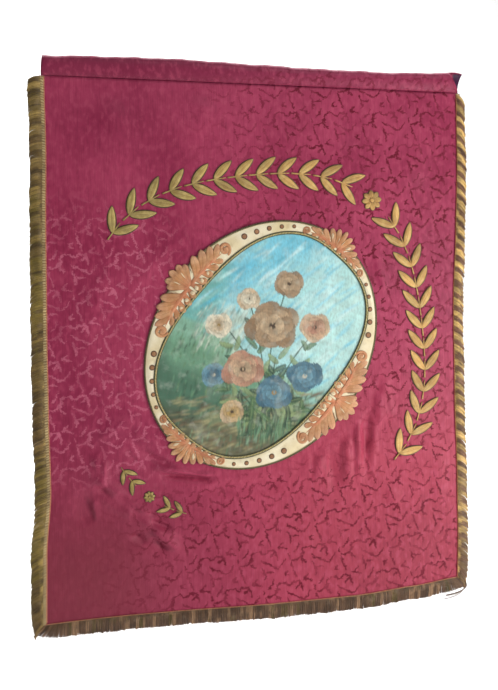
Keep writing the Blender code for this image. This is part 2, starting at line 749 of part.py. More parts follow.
def build_wreaths(material, collection):
    """Two branches of sprigs meet at a rosette over the medallion, and a small pair under it."""
    front = 0.5 * CLOTH + SEW_GAP
    step = (WREATH_HALF_ANGLE - WREATH_TOP) / (WREATH_SPRIGS - 1 + SPRIG_TAIL)
    for side, word in ((1.0, "left"), (-1.0, "right")):
        for i in range(WREATH_SPRIGS):
            angle = side * (WREATH_HALF_ANGLE - step * (i + SPRIG_TAIL))
            points = place_on_wreath(sprig_outline(1.0), angle, side)
            name = f"sprig_{word}_{i + 1:02d}"
            mesh = outline_mesh(name, [points], SPRIG_THICK, front)
            hang_piece(mesh)
            add_object(name, mesh, material, collection)
        for i in range(SMALL_SPRIGS):
            angle = math.pi - side * (SMALL_HALF_ANGLE - SMALL_STEP * (i + SMALL_START))
            points = place_on_wreath(sprig_outline(SMALL_SCALE), angle, -side)
            name = f"small_sprig_{word}_{i + 1}"
            mesh = outline_mesh(name, [points], SPRIG_THICK, front)
            hang_piece(mesh)
            add_object(name, mesh, material, collection)
    for name, angle, scale in (("rosette", 0.0, 1.0), ("small_rosette", math.pi, SMALL_SCALE)):
        points = place_on_wreath(rosette_outline(ROSETTE_RADIUS * scale), angle, 1.0)
        mesh = outline_mesh(name, [points], SPRIG_THICK, front)
        hang_piece(mesh)
        add_object(name, mesh, material, collection)


def rosette_outline(radius):
    points = []
    for i in range(4 * ROSETTE_PETALS):
        angle = 2.0 * math.pi * i / (4 * ROSETTE_PETALS)
        reach = radius * (1.0 - ROSETTE_NOTCH + ROSETTE_NOTCH * math.cos(ROSETTE_PETALS * angle))
        points.append((reach * math.cos(angle), reach * math.sin(angle)))
    return points


def main():
    clear_scene()
    collection = make_collection("processional banner")
    cutters = make_collection("dot shapes")
    finishes = {
        "damask": finish("crimson damask", (0.42, 0.055, 0.115), 0.45),
        "fringe": finish("gold and brown fringe", (0.33, 0.20, 0.07), 0.55),
        "painted": finish("painted satin", (0.25, 0.52, 0.50), 0.55),
        "cream": finish("cream satin", (0.78, 0.70, 0.48), 0.45),
        "braid": finish("green gold braid", (0.30, 0.30, 0.11), 0.50),
        "dark": finish("dark outline cord", (0.07, 0.06, 0.03), 0.60),
        "leaf": finish("terracotta silk", (0.60, 0.27, 0.12), 0.45),
        "gold": finish("gold thread", (0.50, 0.38, 0.15), 0.42),
    }
    build_panel(finishes["damask"], collection)
    build_sleeve(finishes["damask"], collection)
    build_fringes(finishes["fringe"], collection)
    build_medallion(finishes, collection, cutters)
    build_wreaths(finishes["gold"], collection)


main()
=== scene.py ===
# %% [markdown]
# # A processional banner that hangs from its sleeve
# The real banner is a panel of crimson damask with a sleeve for a pole, a silk fringe on three sides, an
# oval medallion in an embroidered frame, and a garland of gold leaves round it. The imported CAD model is
# the frame that every piece is built on, so it is loaded before anything else and its box is kept.

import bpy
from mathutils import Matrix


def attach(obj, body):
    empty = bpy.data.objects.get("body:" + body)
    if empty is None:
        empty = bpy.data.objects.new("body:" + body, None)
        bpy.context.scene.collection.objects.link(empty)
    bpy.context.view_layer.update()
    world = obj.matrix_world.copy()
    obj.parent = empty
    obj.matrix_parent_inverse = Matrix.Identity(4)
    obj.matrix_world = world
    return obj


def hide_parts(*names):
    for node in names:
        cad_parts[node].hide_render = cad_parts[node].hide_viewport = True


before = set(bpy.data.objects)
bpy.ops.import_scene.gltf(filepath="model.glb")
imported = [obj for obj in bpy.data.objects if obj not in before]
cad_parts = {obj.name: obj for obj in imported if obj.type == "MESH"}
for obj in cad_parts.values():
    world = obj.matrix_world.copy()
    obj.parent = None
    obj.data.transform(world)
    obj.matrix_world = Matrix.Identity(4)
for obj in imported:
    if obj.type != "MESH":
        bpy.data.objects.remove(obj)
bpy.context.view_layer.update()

# %% Libraries and repeatable chance
import math
from collections import namedtuple

import bmesh
import bpy
import numpy as np
from mathutils import Vector

SEED = 1906
chance = np.random.default_rng(SEED)
print("nodes in the frame:", len(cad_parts))

# %% [markdown]
# ## Camera, light and floor
# The banner was seen by someone standing to its left, looking level, so the verticals stay upright and the
# horizontals run together to the right. A level camera with a small downward shift gives that view without
# tilting. A large soft lamp on the right rakes across the folds, a second one high in front fills them, and
# a pale sweep stands for the studio. The sweep's wall is far enough back for a look at the banner's back.

# %% The camera
SEAM_Z = -0.023
FOCAL_PIXELS = 640.0
FRAME_PIXELS = 690.0
SENSOR_MM = 36.0
EYE_PLACE = (-0.272, -1.387, -0.399 + SEAM_Z)
EYE_ROLL = math.radians(0.36)
EYE_TURN = math.radians(-9.93)
SHIFT_PIXELS = -79.5

camera_data = bpy.data.cameras.new("viewpoint")
camera = bpy.data.objects.new("viewpoint", camera_data)
bpy.context.scene.collection.objects.link(camera)
camera.location = EYE_PLACE
camera.rotation_euler = (math.radians(90.0), EYE_ROLL, EYE_TURN)
camera_data.sensor_width = SENSOR_MM
camera_data.lens = FOCAL_PIXELS / FRAME_PIXELS * SENSOR_MM
camera_data.shift_y = SHIFT_PIXELS / FRAME_PIXELS
bpy.context.scene.camera = camera
print("lens", round(camera_data.lens, 2), "mm")


# %% Soft lamps and the air's own light
Lamp = namedtuple("Lamp", "name place target size watts colour")
LAMPS = (
    Lamp("window_light", (1.40, -1.12, -0.84), (0.12, 0.0, -0.76), (0.9, 1.3), 26.0, (1.0, 0.97, 0.94)),
    Lamp("ceiling_light", (0.8, -2.2, 1.6), (0.0, 0.0, -0.7), (0.8, 0.8), 25.0, (0.98, 0.98, 1.0)),
    Lamp("backdrop_light", (0.0, 1.1, 2.9), (0.0, 4.2, -1.2), (5.0, 1.2), 440.0, (1.0, 1.0, 1.0)),
)
AIR_COLOUR = (0.93, 0.94, 0.96, 1.0)
AIR_STRENGTH = 0.18


def add_lamp(name, place, target, size, power, colour):
    lamp = bpy.data.lights.new(name, "AREA")
    lamp.shape = "RECTANGLE"
    lamp.size, lamp.size_y = size
    lamp.energy = power
    lamp.color = colour
    holder = bpy.data.objects.new(name, lamp)
    bpy.context.scene.collection.objects.link(holder)
    holder.location = place
    holder.rotation_euler = (Vector(target) - Vector(place)).to_track_quat("-Z", "Y").to_euler()


for row in LAMPS:
    add_lamp(*row)
world = bpy.data.worlds.new("studio air")
bpy.context.scene.world = world
world.use_nodes = True
air = world.node_tree.nodes["Background"]
air.inputs["Color"].default_value = AIR_COLOUR
air.inputs["Strength"].default_value = AIR_STRENGTH
bpy.context.scene.view_settings.view_transform = "Standard"
bpy.context.scene.view_settings.look = "None"
print("lamps", len(LAMPS))


# %% A pale sweep for floor and backdrop
FLOOR_Z = -1.62
FLOOR_FRONT = -5.0
WALL_Y = 5.0
WALL_RISE = 4.2
BEND = 0.9
SWEEP_WIDTH = 16.0
FLOOR_SHARE = 0.5
BEND_SHARE = 0.2


def eased(share):
    """0 to 1 with a soft start and end."""
    share = min(max(share, 0.0), 1.0)
    return share * share * (3.0 - 2.0 * share)


def sweep_profile(share):
    """The sweep's section from the front of the floor to the top of the backdrop, as (y, z)."""
    if share < FLOOR_SHARE:
        return FLOOR_FRONT + (WALL_Y - BEND - FLOOR_FRONT) * share / FLOOR_SHARE, FLOOR_Z
    past_floor = share - FLOOR_SHARE
    if past_floor < BEND_SHARE:
        turn = past_floor / BEND_SHARE * 0.5 * math.pi
        return WALL_Y - BEND + BEND * math.sin(turn), FLOOR_Z + BEND - BEND * math.cos(turn)
    up_wall = (past_floor - BEND_SHARE) / (1.0 - FLOOR_SHARE - BEND_SHARE)
    return WALL_Y, FLOOR_Z + BEND + up_wall * WALL_RISE


bm = bmesh.new()
bmesh.ops.create_grid(bm, x_segments=2, y_segments=60, size=0.5)
for vertex in bm.verts:
    y, z = sweep_profile(vertex.co.y + 0.5)
    vertex.co = (vertex.co.x * SWEEP_WIDTH, y, z)
sweep_mesh = bpy.data.meshes.new("studio_sweep")
bm.to_mesh(sweep_mesh)
bm.free()
sweep = bpy.data.objects.new("studio_sweep", sweep_mesh)
bpy.context.scene.collection.objects.link(sweep)
sweep_mesh.shade_smooth()
paper = bpy.data.materials.new("pale paper")
paper.use_nodes = True
paper_shader = paper.node_tree.nodes["Principled BSDF"]
paper_shader.inputs["Base Color"].default_value = (0.90, 0.90, 0.895, 1.0)
paper_shader.inputs["Roughness"].default_value = 0.9
sweep_mesh.materials.append(paper)
print("sweep faces", len(sweep_mesh.polygons))

# %% [markdown]
# ## How the cloth hangs
# The cloth is nearly flat, because the medallion and the garland are stitched through it and hold it. Its
# folds start where that stitching stops. Each fold is a soft ridge or trough along a line, so a short table
# of lines says where they are, and one function adds them up. The braid, the leaves and the fringe ask the
# same function how far back the cloth lies where it is smooth, which keeps them on it.

# %% The outline and the folds, in metres
PANEL_HALF = 0.465
PANEL_DROP = 1.147
CLOTH = 0.0015
HELD_TOP = 0.020
MEDALLION_X = 0.003
MEDALLION_DROP = 0.5725
FRAME_HALF_LONG = 0.289
FRAME_HALF_SHORT = 0.240
FRAME_TILT = math.radians(51.8)
PICTURE_HALF_LONG = 0.2595
PICTURE_HALF_SHORT = 0.184
PICTURE_POWER = 2.58
PICTURE_TILT = math.radians(48.5)
WREATH_RADIUS = 0.390
WREATH_WAVE = 0.017
WREATH_HALF_ANGLE = math.radians(93.5)
SPRIG_LEAF = 0.058
SMALL_HALF_ANGLE = math.radians(13.5)
SMALL_SCALE = 0.52

Edge = namedtuple("Edge", "place shift")
LEFT_EDGE = (
    Edge(0.00, 0.000), Edge(0.17, 0.003), Edge(0.30, 0.002), Edge(0.55, 0.003),
    Edge(0.70, 0.005), Edge(0.87, 0.009), Edge(1.00, 0.001), Edge(1.15, 0.000),
)
RIGHT_EDGE = (
    Edge(0.00, 0.002), Edge(0.15, 0.002), Edge(0.30, 0.005), Edge(0.50, 0.012),
    Edge(0.70, 0.010), Edge(0.90, 0.005), Edge(1.05, 0.002), Edge(1.15, 0.003),
)
BOTTOM_EDGE = (
    Edge(-0.465, 0.005), Edge(-0.20, 0.002), Edge(0.00, 0.000), Edge(0.20, 0.002),
    Edge(0.35, 0.009), Edge(0.465, 0.016),
)
SLEEVE_TOP = (
    Edge(-0.467, -0.004), Edge(-0.33, 0.000), Edge(-0.20, 0.002), Edge(0.00, -0.002), Edge(0.12, -0.005),
    Edge(0.30, -0.006), Edge(0.40, -0.002), Edge(0.470, 0.002),
)

Fold = namedtuple("Fold", "x0 drop0 x1 drop1 width height")
MAIN_FOLDS = (
    Fold(0.128, 0.800, 0.120, 0.895, 0.013, 0.0045),
    Fold(0.160, 0.785, 0.164, 0.920, 0.013, -0.0040),
    Fold(0.190, 0.760, 0.198, 0.915, 0.013, 0.0060),
    Fold(0.216, 0.740, 0.222, 0.905, 0.012, 0.0055),
    Fold(0.240, 0.705, 0.246, 0.900, 0.013, -0.0075),
    Fold(0.268, 0.640, 0.280, 0.780, 0.014, 0.0065),
    Fold(0.290, 0.880, 0.312, 0.960, 0.014, 0.0040),
    Fold(-0.240, 0.830, -0.060, 0.862, 0.013, 0.0055),
    Fold(-0.130, 0.885, 0.070, 0.880, 0.015, -0.0045),
    Fold(-0.330, 0.775, -0.215, 0.812, 0.013, -0.0055),
    Fold(-0.262, 0.705, -0.365, 0.770, 0.016, 0.0045),
    Fold(-0.362, 0.790, -0.352, 0.880, 0.015, 0.0070),
    Fold(-0.352, 0.872, -0.268, 0.932, 0.015, 0.0080),
    Fold(-0.276, 0.926, -0.180, 0.990, 0.015, 0.0070),
    Fold(-0.392, 0.865, -0.380, 0.950, 0.015, -0.0055),
    Fold(-0.300, 0.965, -0.200, 1.022, 0.015, -0.0050),
    Fold(0.205, 0.312, 0.250, 0.362, 0.014, -0.0035),
    Fold(0.258, 0.360, 0.286, 0.470, 0.014, 0.0035),
    Fold(-0.305, 0.455, -0.115, 0.292, 0.020, 0.0035),
    Fold(-0.400, 0.560, -0.330, 0.400, 0.026, 0.0040),
    Fold(-0.330, 0.030, -0.300, 0.210, 0.032, 0.0040),
    Fold(-0.120, 0.026, -0.150, 0.130, 0.026, 0.0030),
    Fold(0.170, 0.026, 0.215, 0.140, 0.026, -0.0030),
    Fold(0.370, 0.030, 0.350, 0.240, 0.032, 0.0040),
)
CREASES = (
    Fold(0.104, 0.815, 0.100, 0.872, 0.006, 0.0012),
    Fold(0.114, 0.812, 0.112, 0.880, 0.005, -0.0016),
    Fold(0.141, 0.800, 0.144, 0.892, 0.006, 0.0020),
    Fold(0.152, 0.796, 0.153, 0.870, 0.005, -0.0018),
    Fold(0.128, 0.812, 0.135, 0.870, 0.006, 0.0020),
    Fold(0.100, 0.862, 0.142, 0.886, 0.006, -0.0020),
    Fold(0.176, 0.780, 0.180, 0.900, 0.006, -0.0016),
    Fold(0.205, 0.765, 0.212, 0.890, 0.006, -0.0020),
    Fold(0.217, 0.745, 0.223, 0.845, 0.006, 0.0024),
    Fold(0.231, 0.745, 0.243, 0.855, 0.006, -0.0024),
    Fold(0.254, 0.735, 0.261, 0.870, 0.007, 0.0026),
    Fold(0.272, 0.660, 0.282, 0.790, 0.006, -0.0020),
    Fold(0.288, 0.650, 0.302, 0.760, 0.007, 0.0026),
    Fold(0.060, 0.825, 0.052, 0.880, 0.006, 0.0014),
    Fold(0.080, 0.822, 0.076, 0.876, 0.006, -0.0014),
    Fold(-0.285, 0.745, -0.215, 0.792, 0.006, 0.0024),
    Fold(-0.262, 0.800, -0.194, 0.832, 0.006, -0.0060),
    Fold(-0.306, 0.788, -0.274, 0.818, 0.005, -0.0046),
    Fold(-0.252, 0.826, -0.095, 0.855, 0.008, 0.0110),
    Fold(-0.240, 0.845, -0.098, 0.868, 0.007, -0.0115),
    Fold(-0.342, 0.800, -0.344, 0.872, 0.009, 0.0070),
    Fold(-0.354, 0.846, -0.236, 0.936, 0.009, 0.0085),
    Fold(-0.368, 0.852, -0.290, 0.926, 0.007, -0.0070),
    Fold(-0.318, 0.880, -0.250, 0.915, 0.007, -0.0084),
    Fold(-0.256, 0.924, -0.200, 0.946, 0.006, -0.0080),
    Fold(-0.250, 0.944, -0.198, 0.968, 0.006, -0.0080),
    Fold(-0.250, 0.960, -0.180, 1.014, 0.009, 0.0085),
    Fold(-0.246, 0.977, -0.210, 1.014, 0.006, -0.0068),
    Fold(-0.285, 0.970, -0.255, 0.994, 0.006, -0.0062),
    Fold(-0.383, 0.886, -0.364, 0.942, 0.006, -0.0046),
    Fold(-0.363, 0.884, -0.360, 0.940, 0.006, 0.0032),
    Fold(-0.378, 0.796, -0.352, 0.852, 0.007, -0.0030),
    Fold(0.196, 0.330, 0.232, 0.356, 0.006, 0.0016),
    Fold(0.226, 0.366, 0.252, 0.424, 0.006, -0.0018),
    Fold(-0.210, 0.352, -0.128, 0.300, 0.008, -0.0016),
    Fold(-0.270, 0.300, -0.180, 0.245, 0.012, 0.0014),
    Fold(-0.285, 0.520, -0.262, 0.620, 0.010, 0.0014),
    Fold(0.372, 0.560, 0.380, 0.700, 0.014, 0.0018),
    Fold(-0.420, 0.250, -0.400, 0.420, 0.018, 0.0018),
    Fold(-0.440, 0.620, -0.425, 0.800, 0.014, -0.0018),
    Fold(0.420, 0.820, 0.412, 0.980, 0.014, 0.0020),
    Fold(-0.060, 0.930, -0.020, 1.050, 0.020, 0.0018),
    Fold(0.120, 0.960, 0.150, 1.080, 0.020, -0.0018),
)
FOLD_END = 0.30
LEAF_FADE = 16.0
SEWN_EDGE = 0.014
SEWN_FADE = 0.022
CALM_RADIUS = 0.455
WAVE_RADIUS = 0.750
WAVE_DEPTH = 0.009
WAVE_LENGTH = 0.760
CREASE_EDGE = -0.003
CREASE_FADE = 0.55
WREATH_SEWN = 0.78
WREATH_FADE = 0.020
SMALL_SEWN = 0.80
SMALL_FADE = 0.014
WAVE_LEAN = 0.35
WAVE_START = 0.25
print("folds", len(MAIN_FOLDS), "creases", len(CREASES))


# %% Reading the tables
def read_edge(rows, place):
    """The shift at a place along an edge, eased between the rows of its table."""
    if place <= rows[0].place:
        return rows[0].shift
    for low, high in zip(rows, rows[1:]):
        if place <= high.place:
            share = (place - low.place) / (high.place - low.place)
            return low.shift + (high.shift - low.shift) * eased(share)
    return rows[-1].shift


def left_line(drop):
    return -PANEL_HALF + read_edge(LEFT_EDGE, drop)


def right_line(drop):
    return PANEL_HALF - read_edge(RIGHT_EDGE, drop)


def bottom_line(x):
    return PANEL_DROP - read_edge(BOTTOM_EDGE, x)


def turned(u, v, tilt):
    """From an oval's own long and short axes to across and up."""
    return u * math.cos(tilt) - v * math.sin(tilt), u * math.sin(tilt) + v * math.cos(tilt)


def wreath_radius(angle):
    """Radius of the garland's stem at an angle from the frame's long axis."""
    return WREATH_RADIUS + WREATH_WAVE * math.cos(4.0 * angle)


# %% Where the sewing holds the cloth
LeafPatch = namedtuple("LeafPatch", "middle out span")
LEAF_PATCHES = (
    LeafPatch(90.0, 0.025, 31.0), LeafPatch(-90.0, 0.025, 31.0),
    LeafPatch(0.0, 0.026, 25.0), LeafPatch(180.0, 0.026, 25.0),
)


def frame_reach(x, drop):
    """How far a point lies outside the medallion's frame and its leaves, negative inside."""
    u, v = turned(x - MEDALLION_X, MEDALLION_DROP - drop, -FRAME_TILT)
    share = math.hypot(u / FRAME_HALF_LONG, v / FRAME_HALF_SHORT)
    angle = math.degrees(math.atan2(v / FRAME_HALF_SHORT, u / FRAME_HALF_LONG))
    leaves = 0.0
    for patch in LEAF_PATCHES:
        off = abs((angle - patch.middle + 180.0) % 360.0 - 180.0)
        leaves = max(leaves, patch.out * eased((patch.span - off) / LEAF_FADE))
    return (share - 1.0) * math.hypot(u, v) / max(share, 1e-6) - leaves


def sewn_share(x, drop, edge=SEWN_EDGE, fade=1.0):
    """1 where the medallion or the garland holds the cloth flat, 0 where it is free."""
    u, v = turned(x - MEDALLION_X, MEDALLION_DROP - drop, -FRAME_TILT)
    angle = math.atan2(v, u)
    off_stem = abs(math.hypot(u, v) - wreath_radius(angle))
    past_wreath = max(abs(angle) - WREATH_HALF_ANGLE, 0.0) * WREATH_RADIUS
    off_wreath = math.hypot(off_stem, past_wreath) - SPRIG_LEAF * WREATH_SEWN - edge
    past_small = max(math.pi - abs(angle) - SMALL_HALF_ANGLE, 0.0) * WREATH_RADIUS
    off_small = math.hypot(off_stem, past_small) - SPRIG_LEAF * SMALL_SCALE * SMALL_SEWN - edge
    free = eased((frame_reach(x, drop) - edge) / (SEWN_FADE * fade))
    free *= eased(off_wreath / (WREATH_FADE * fade))
    return 1.0 - free * eased(off_small / (SMALL_FADE * fade))


print("patches of leaves", len(LEAF_PATCHES))


# %% The hang of the cloth
def fold_height(fold, x, drop):
    """How far one fold lifts the cloth at a place, negative in a trough."""
    reach = 3.0 * fold.width
    if not min(fold.x0, fold.x1) - reach < x < max(fold.x0, fold.x1) + reach:
        return 0.0
    run_x, run_drop = fold.x1 - fold.x0, fold.drop1 - fold.drop0
    off_x, off_drop = x - fold.x0, drop - fold.drop0
    length = math.hypot(run_x, run_drop)
    along = (off_x * run_x + off_drop * run_drop) / length**2
    if not 0.0 < along < 1.0:
        return 0.0
    across = (off_x * run_drop - off_drop * run_x) / length
    fade = eased(along / FOLD_END) * eased((1.0 - along) / FOLD_END)
    return fold.height * fade * math.exp(-((across / fold.width) ** 2))


def hang(x, drop, folds=MAIN_FOLDS):
    """How far the cloth's middle stands behind the straight hanging plane."""
    radius = math.hypot(x - MEDALLION_X, drop - MEDALLION_DROP)
    free = eased((radius - CALM_RADIUS) / (WAVE_RADIUS - CALM_RADIUS)) * eased((drop - HELD_TOP) / WAVE_START)
    wave = WAVE_DEPTH * free * math.sin(2.0 * math.pi * (x + WAVE_LEAN * drop) / WAVE_LENGTH)
    if drop <= HELD_TOP:
        return wave
    raised = sum(fold_height(fold, x, drop) for fold in folds)
    if raised:
        raised *= 1.0 - sewn_share(x, drop)
    return wave - raised


def creased(x, drop):
    """How far the narrow creases lift the cloth; they reach closer to the sewing than the folds do."""
    raised = sum(fold_height(crease, x, drop) for crease in CREASES)
    return raised * (1.0 - sewn_share(x, drop, CREASE_EDGE, CREASE_FADE)) if raised else 0.0


print("hang at the lower right corner", round(hang(0.46, 1.14), 4))


# %% Small helpers for meshes and pieces
def mesh_from(bm, name, smooth=True):
    mesh = bpy.data.meshes.new(name)
    bm.to_mesh(mesh)
    bm.free()
    if smooth:
        mesh.shade_smooth()
    return mesh


def add_piece(name, mesh, material, slot, *nodes):
    """Links a finished mesh as a piece that rides on the banner and stands for its CAD nodes."""
    piece = bpy.data.objects.new(name, mesh)
    bpy.context.scene.collection.objects.link(piece)
    mesh.materials.clear()
    mesh.materials.append(material)
    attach(piece, "root")
    if nodes:
        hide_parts(*nodes)
    return piece


def triangles(mesh):
    return sum(len(face.vertices) - 2 for face in mesh.polygons)


def bake_modifiers(piece):
    """Replaces a piece's mesh by its evaluated one, so that nothing is left live on it."""
    evaluated = piece.evaluated_get(bpy.context.evaluated_depsgraph_get())
    mesh = bpy.data.meshes.new_from_object(evaluated)
    piece.modifiers.clear()
    piece.data = mesh
    return mesh


def dye(red, green, blue):
    """A colour given as it is seen on a screen, 0 to 255, in the linear values of shaders."""
    shares = [c / 255.0 for c in (red, green, blue)]
    return tuple(c / 12.92 if c <= 0.04045 else ((c + 0.055) / 1.055) ** 2.4 for c in shares)


print("crimson", [round(c, 3) for c in dye(178, 58, 88)])

# %% [markdown]
# ## Writing materials in nodes
# A shader tree is easier to read as a sum than as a heap of boxes. These few helpers add one node each and
# return its output, so a finish can be written from the inside out.


# %% Node helpers
def socket_set(tree, socket, value):
    if isinstance(value, bpy.types.NodeSocket):
        tree.links.new(value, socket)
    else:
        socket.default_value = value


def calc(tree, operation, first, second=0.0, third=0.0):
    """One Math node."""
    node = tree.nodes.new("ShaderNodeMath")
    node.operation = operation
    for socket, value in zip(node.inputs, (first, second, third)):
        socket_set(tree, socket, value)
    return node.outputs[0]


def vector_calc(tree, operation, *values):
    """One Vector Math node; dot product and length come out as a number."""
    node = tree.nodes.new("ShaderNodeVectorMath")
    node.operation = operation
    for socket, value in zip(node.inputs, values):
        socket_set(tree, socket, value)
    return node.outputs["Value"] if operation in ("DOT_PRODUCT", "LENGTH") else node.outputs["Vector"]


def scaled(tree, vector, factor):
    """A vector times a number, with no hidden conversion of the number to a vector."""
    node = tree.nodes.new("ShaderNodeVectorMath")
    node.operation = "SCALE"
    tree.links.new(vector, node.inputs["Vector"])
    tree.links.new(factor, node.inputs["Scale"])
    return node.outputs["Vector"]


def ramp(tree, value, low, high, out_low=0.0, out_high=1.0):
    """A smooth step from out_low to out_high as the value goes from low to high; it needs no clamp."""
    node = tree.nodes.new("ShaderNodeMapRange")
    node.interpolation_type = "SMOOTHSTEP"
    node.clamp = False
    for socket, given in zip(node.inputs, (value, low, high, out_low, out_high)):
        socket_set(tree, socket, given)
    return node.outputs["Result"]


def blend_colours(tree, share, first, second, mode="MIX"):
    node = tree.nodes.new("ShaderNodeMix")
    node.data_type = "RGBA"
    node.blend_type = mode
    socket_set(tree, node.inputs["Factor"], share)
    socket_set(tree, node.inputs["A"], first)
    socket_set(tree, node.inputs["B"], second)
    return node.outputs["Result"]


def noise(tree, vector, scale, detail=2.0, roughness=0.5):
    node = tree.nodes.new("ShaderNodeTexNoise")
    tree.links.new(vector, node.inputs["Vector"])
    node.inputs["Scale"].default_value = scale
    node.inputs["Detail"].default_value = detail
    node.inputs["Roughness"].default_value = roughness
    return node.outputs["Fac"]


def attribute(tree, name, output="Color"):
    node = tree.nodes.new("ShaderNodeAttribute")
    node.attribute_name = name
    return node.outputs[output]


def object_place(tree):
    return tree.nodes.new("ShaderNodeTexCoord").outputs["Object"]


def parts_of(tree, vector):
    node = tree.nodes.new("ShaderNodeSeparateXYZ")
    tree.links.new(vector, node.inputs[0])
    return node.outputs["X"], node.outputs["Y"], node.outputs["Z"]


def join_parts(tree, x, y, z):
    node = tree.nodes.new("ShaderNodeCombineXYZ")
    for socket, value in zip(node.inputs, (x, y, z)):
        socket_set(tree, socket, value)
    return node.outputs[0]


def relief(tree, height, depth, strength=1.0):
    """A Bump node whose height is a share of the given depth in metres."""
    node = tree.nodes.new("ShaderNodeBump")
    tree.links.new(height, node.inputs["Height"])
    node.inputs["Distance"].default_value = depth
    node.inputs["Strength"].default_value = strength
    return node.outputs["Normal"]


def new_finish(name, roughness, **more):
    """An empty Principled material, with its constant sockets set by name."""
    material = bpy.data.materials.new(name)
    material.use_nodes = True
    shader = material.node_tree.nodes["Principled BSDF"]
    shader.inputs["Roughness"].default_value = roughness
    for key, value in more.items():
        shader.inputs[key.replace("_", " ")].default_value = value
    return material, material.node_tree, shader


def ridges(tree, place, pitch):
    """Rounded ridges across a coordinate in metres, 0 in the grooves and 1 on the crowns."""
    return calc(tree, "ABSOLUTE", calc(tree, "SINE", calc(tree, "MULTIPLY", place, math.pi / pitch)))


print("node helpers ready")

# %% [markdown]
# ## Crimson damask
# Damask is one colour of silk in two weaves: a glossy satin ground and a duller figure of broken, thorny
# rose twigs. Each row of the table is one brush line of the figure: points across and up from the rose's
# middle, each with the line's width there, in millimetres. One small node group draws a tapering piece of
# line, and the whole figure is the largest of them all. The repeat is half dropped, so the same rose is
# drawn on two lattices. Light and shade are painted into the colour by place: the satin is painted lighter
# towards the lamp and darker far from it, and the figure is painted darker than the satin near the lamp and a
# little lighter far from it.

# %% The brush lines of one repeat
ROSE_LINES = (
    ((-28, -13, 2.8), (-22, -19, 4.4), (-12, -22, 3.6), (-2, -28, 4.6),
     (6, -33, 4.8), (12, -32, 3.6), (20, -23, 3.8), (25, -15, 2.2)),
    ((-8, -6, 4.6), (2, 3, 5.8), (6, -7, 4.4), (7, -15, 2.4)),
    ((-37, 8, 2.4), (-31, 7, 4.6), (-26, 2, 4.0), (-18, 2, 3.8), (-13, 9, 4.4)),
    ((-13, 8, 3.6), (0, 7, 5.2)),
    ((30, 6, 2.4), (22, 9, 4.0), (10, 12, 5.4), (15, 17, 3.6), (20, 22, 2.8)),
    ((31, 47, 2.8), (35, 36, 4.0), (39, 25, 5.6), (37, 18, 2.4)),
    ((41, 34, 3.2), (50, 34, 5.6), (56, 33, 2.8)),
    ((-26, 31, 3.0), (-32, 28, 5.0), (-31, 23, 4.4), (-24, 22, 2.6)),
    ((-19, 51, 3.0), (-16, 42, 5.0), (-14, 34, 3.2), (-9, 26, 4.0), (-7, 17, 3.2)),
    ((-18, 55, 3.0), (-8, 55, 5.0), (0, 59, 4.6), (7, 63, 5.4),
     (6, 70, 3.8), (7, 78, 4.8), (18, 82, 2.8)),
    ((6, 56, 2.4), (14, 48, 5.0)),
    ((-24, 70, 2.4), (-22, 62, 3.8)),
    ((57, 17, 2.2), (54, 6, 3.6), (45, -2, 4.0)),
    ((61, -9, 4.4), (67, -6, 4.8)),
    ((62, -17, 3.0), (64, -24, 4.0)),
)
REPEAT_ACROSS = 115.0
REPEAT_DOWN = 149.0
REPEAT_MIDDLE = (14.0, 26.0)
ROSE_PLACE = (138.0, -912.0)
WEFT_SLOPE = 0.035
WAVER_MM = 12.0
RAGGED_MM = 7.5
print("pieces of line in a rose", sum(len(line) - 1 for line in ROSE_LINES))


# %% One tapering piece of line as a node group
def line_group():
    """A node group that adds a tapering piece of line, in millimetres, to what is drawn already."""
    group = bpy.data.node_groups.new("tapering line", "ShaderNodeTree")
    for name, kind in (
        ("Point", "NodeSocketVector"), ("Start", "NodeSocketVector"), ("Span", "NodeSocketVector"),
        ("Along", "NodeSocketVector"), ("Half Width", "NodeSocketFloat"), ("Widening", "NodeSocketFloat"),
        ("Ragged", "NodeSocketFloat"), ("Drawn", "NodeSocketFloat"),
    ):
        group.interface.new_socket(name, in_out="INPUT", socket_type=kind)
    group.interface.new_socket("Mask", in_out="OUTPUT", socket_type="NodeSocketFloat")
    given = group.nodes.new("NodeGroupInput").outputs
    away = vector_calc(group, "SUBTRACT", given["Point"], given["Start"])
    share = calc(group, "MAXIMUM", vector_calc(group, "DOT_PRODUCT", away, given["Along"]), 0.0)
    share = calc(group, "MINIMUM", share, 1.0)
    foot = scaled(group, given["Span"], share)
    distance = vector_calc(group, "LENGTH", vector_calc(group, "SUBTRACT", away, foot))
    reach = calc(group, "MULTIPLY_ADD", share, given["Widening"], given["Half Width"])
    over = calc(group, "ADD", calc(group, "SUBTRACT", distance, reach), given["Ragged"])
    result = group.nodes.new("NodeGroupOutput")
    mask = calc(group, "MAXIMUM", ramp(group, over, 0.5, -0.5), given["Drawn"])
    group.links.new(mask, result.inputs["Mask"])
    return group


TAPERING_LINE = line_group()
print("line group nodes", len(TAPERING_LINE.nodes))


# %% The whole damask figure as a node group
def draw_line_piece(tree, cell, ragged, start, end, drawn):
    x, z, width = start
    span = (end[0] - x, end[1] - z)
    length_squared = span[0] ** 2 + span[1] ** 2
    node = tree.nodes.new("ShaderNodeGroup")
    node.node_tree = TAPERING_LINE
    tree.links.new(cell, node.inputs["Point"])
    tree.links.new(ragged, node.inputs["Ragged"])
    socket_set(tree, node.inputs["Drawn"], drawn)
    node.inputs["Start"].default_value = (x, z, 0.0)
    node.inputs["Span"].default_value = (span[0], span[1], 0.0)
    node.inputs["Along"].default_value = (span[0] / length_squared, span[1] / length_squared, 0.0)
    node.inputs["Half Width"].default_value = 0.5 * width
    node.inputs["Widening"].default_value = 0.5 * (end[2] - width)
    return node.outputs["Mask"]


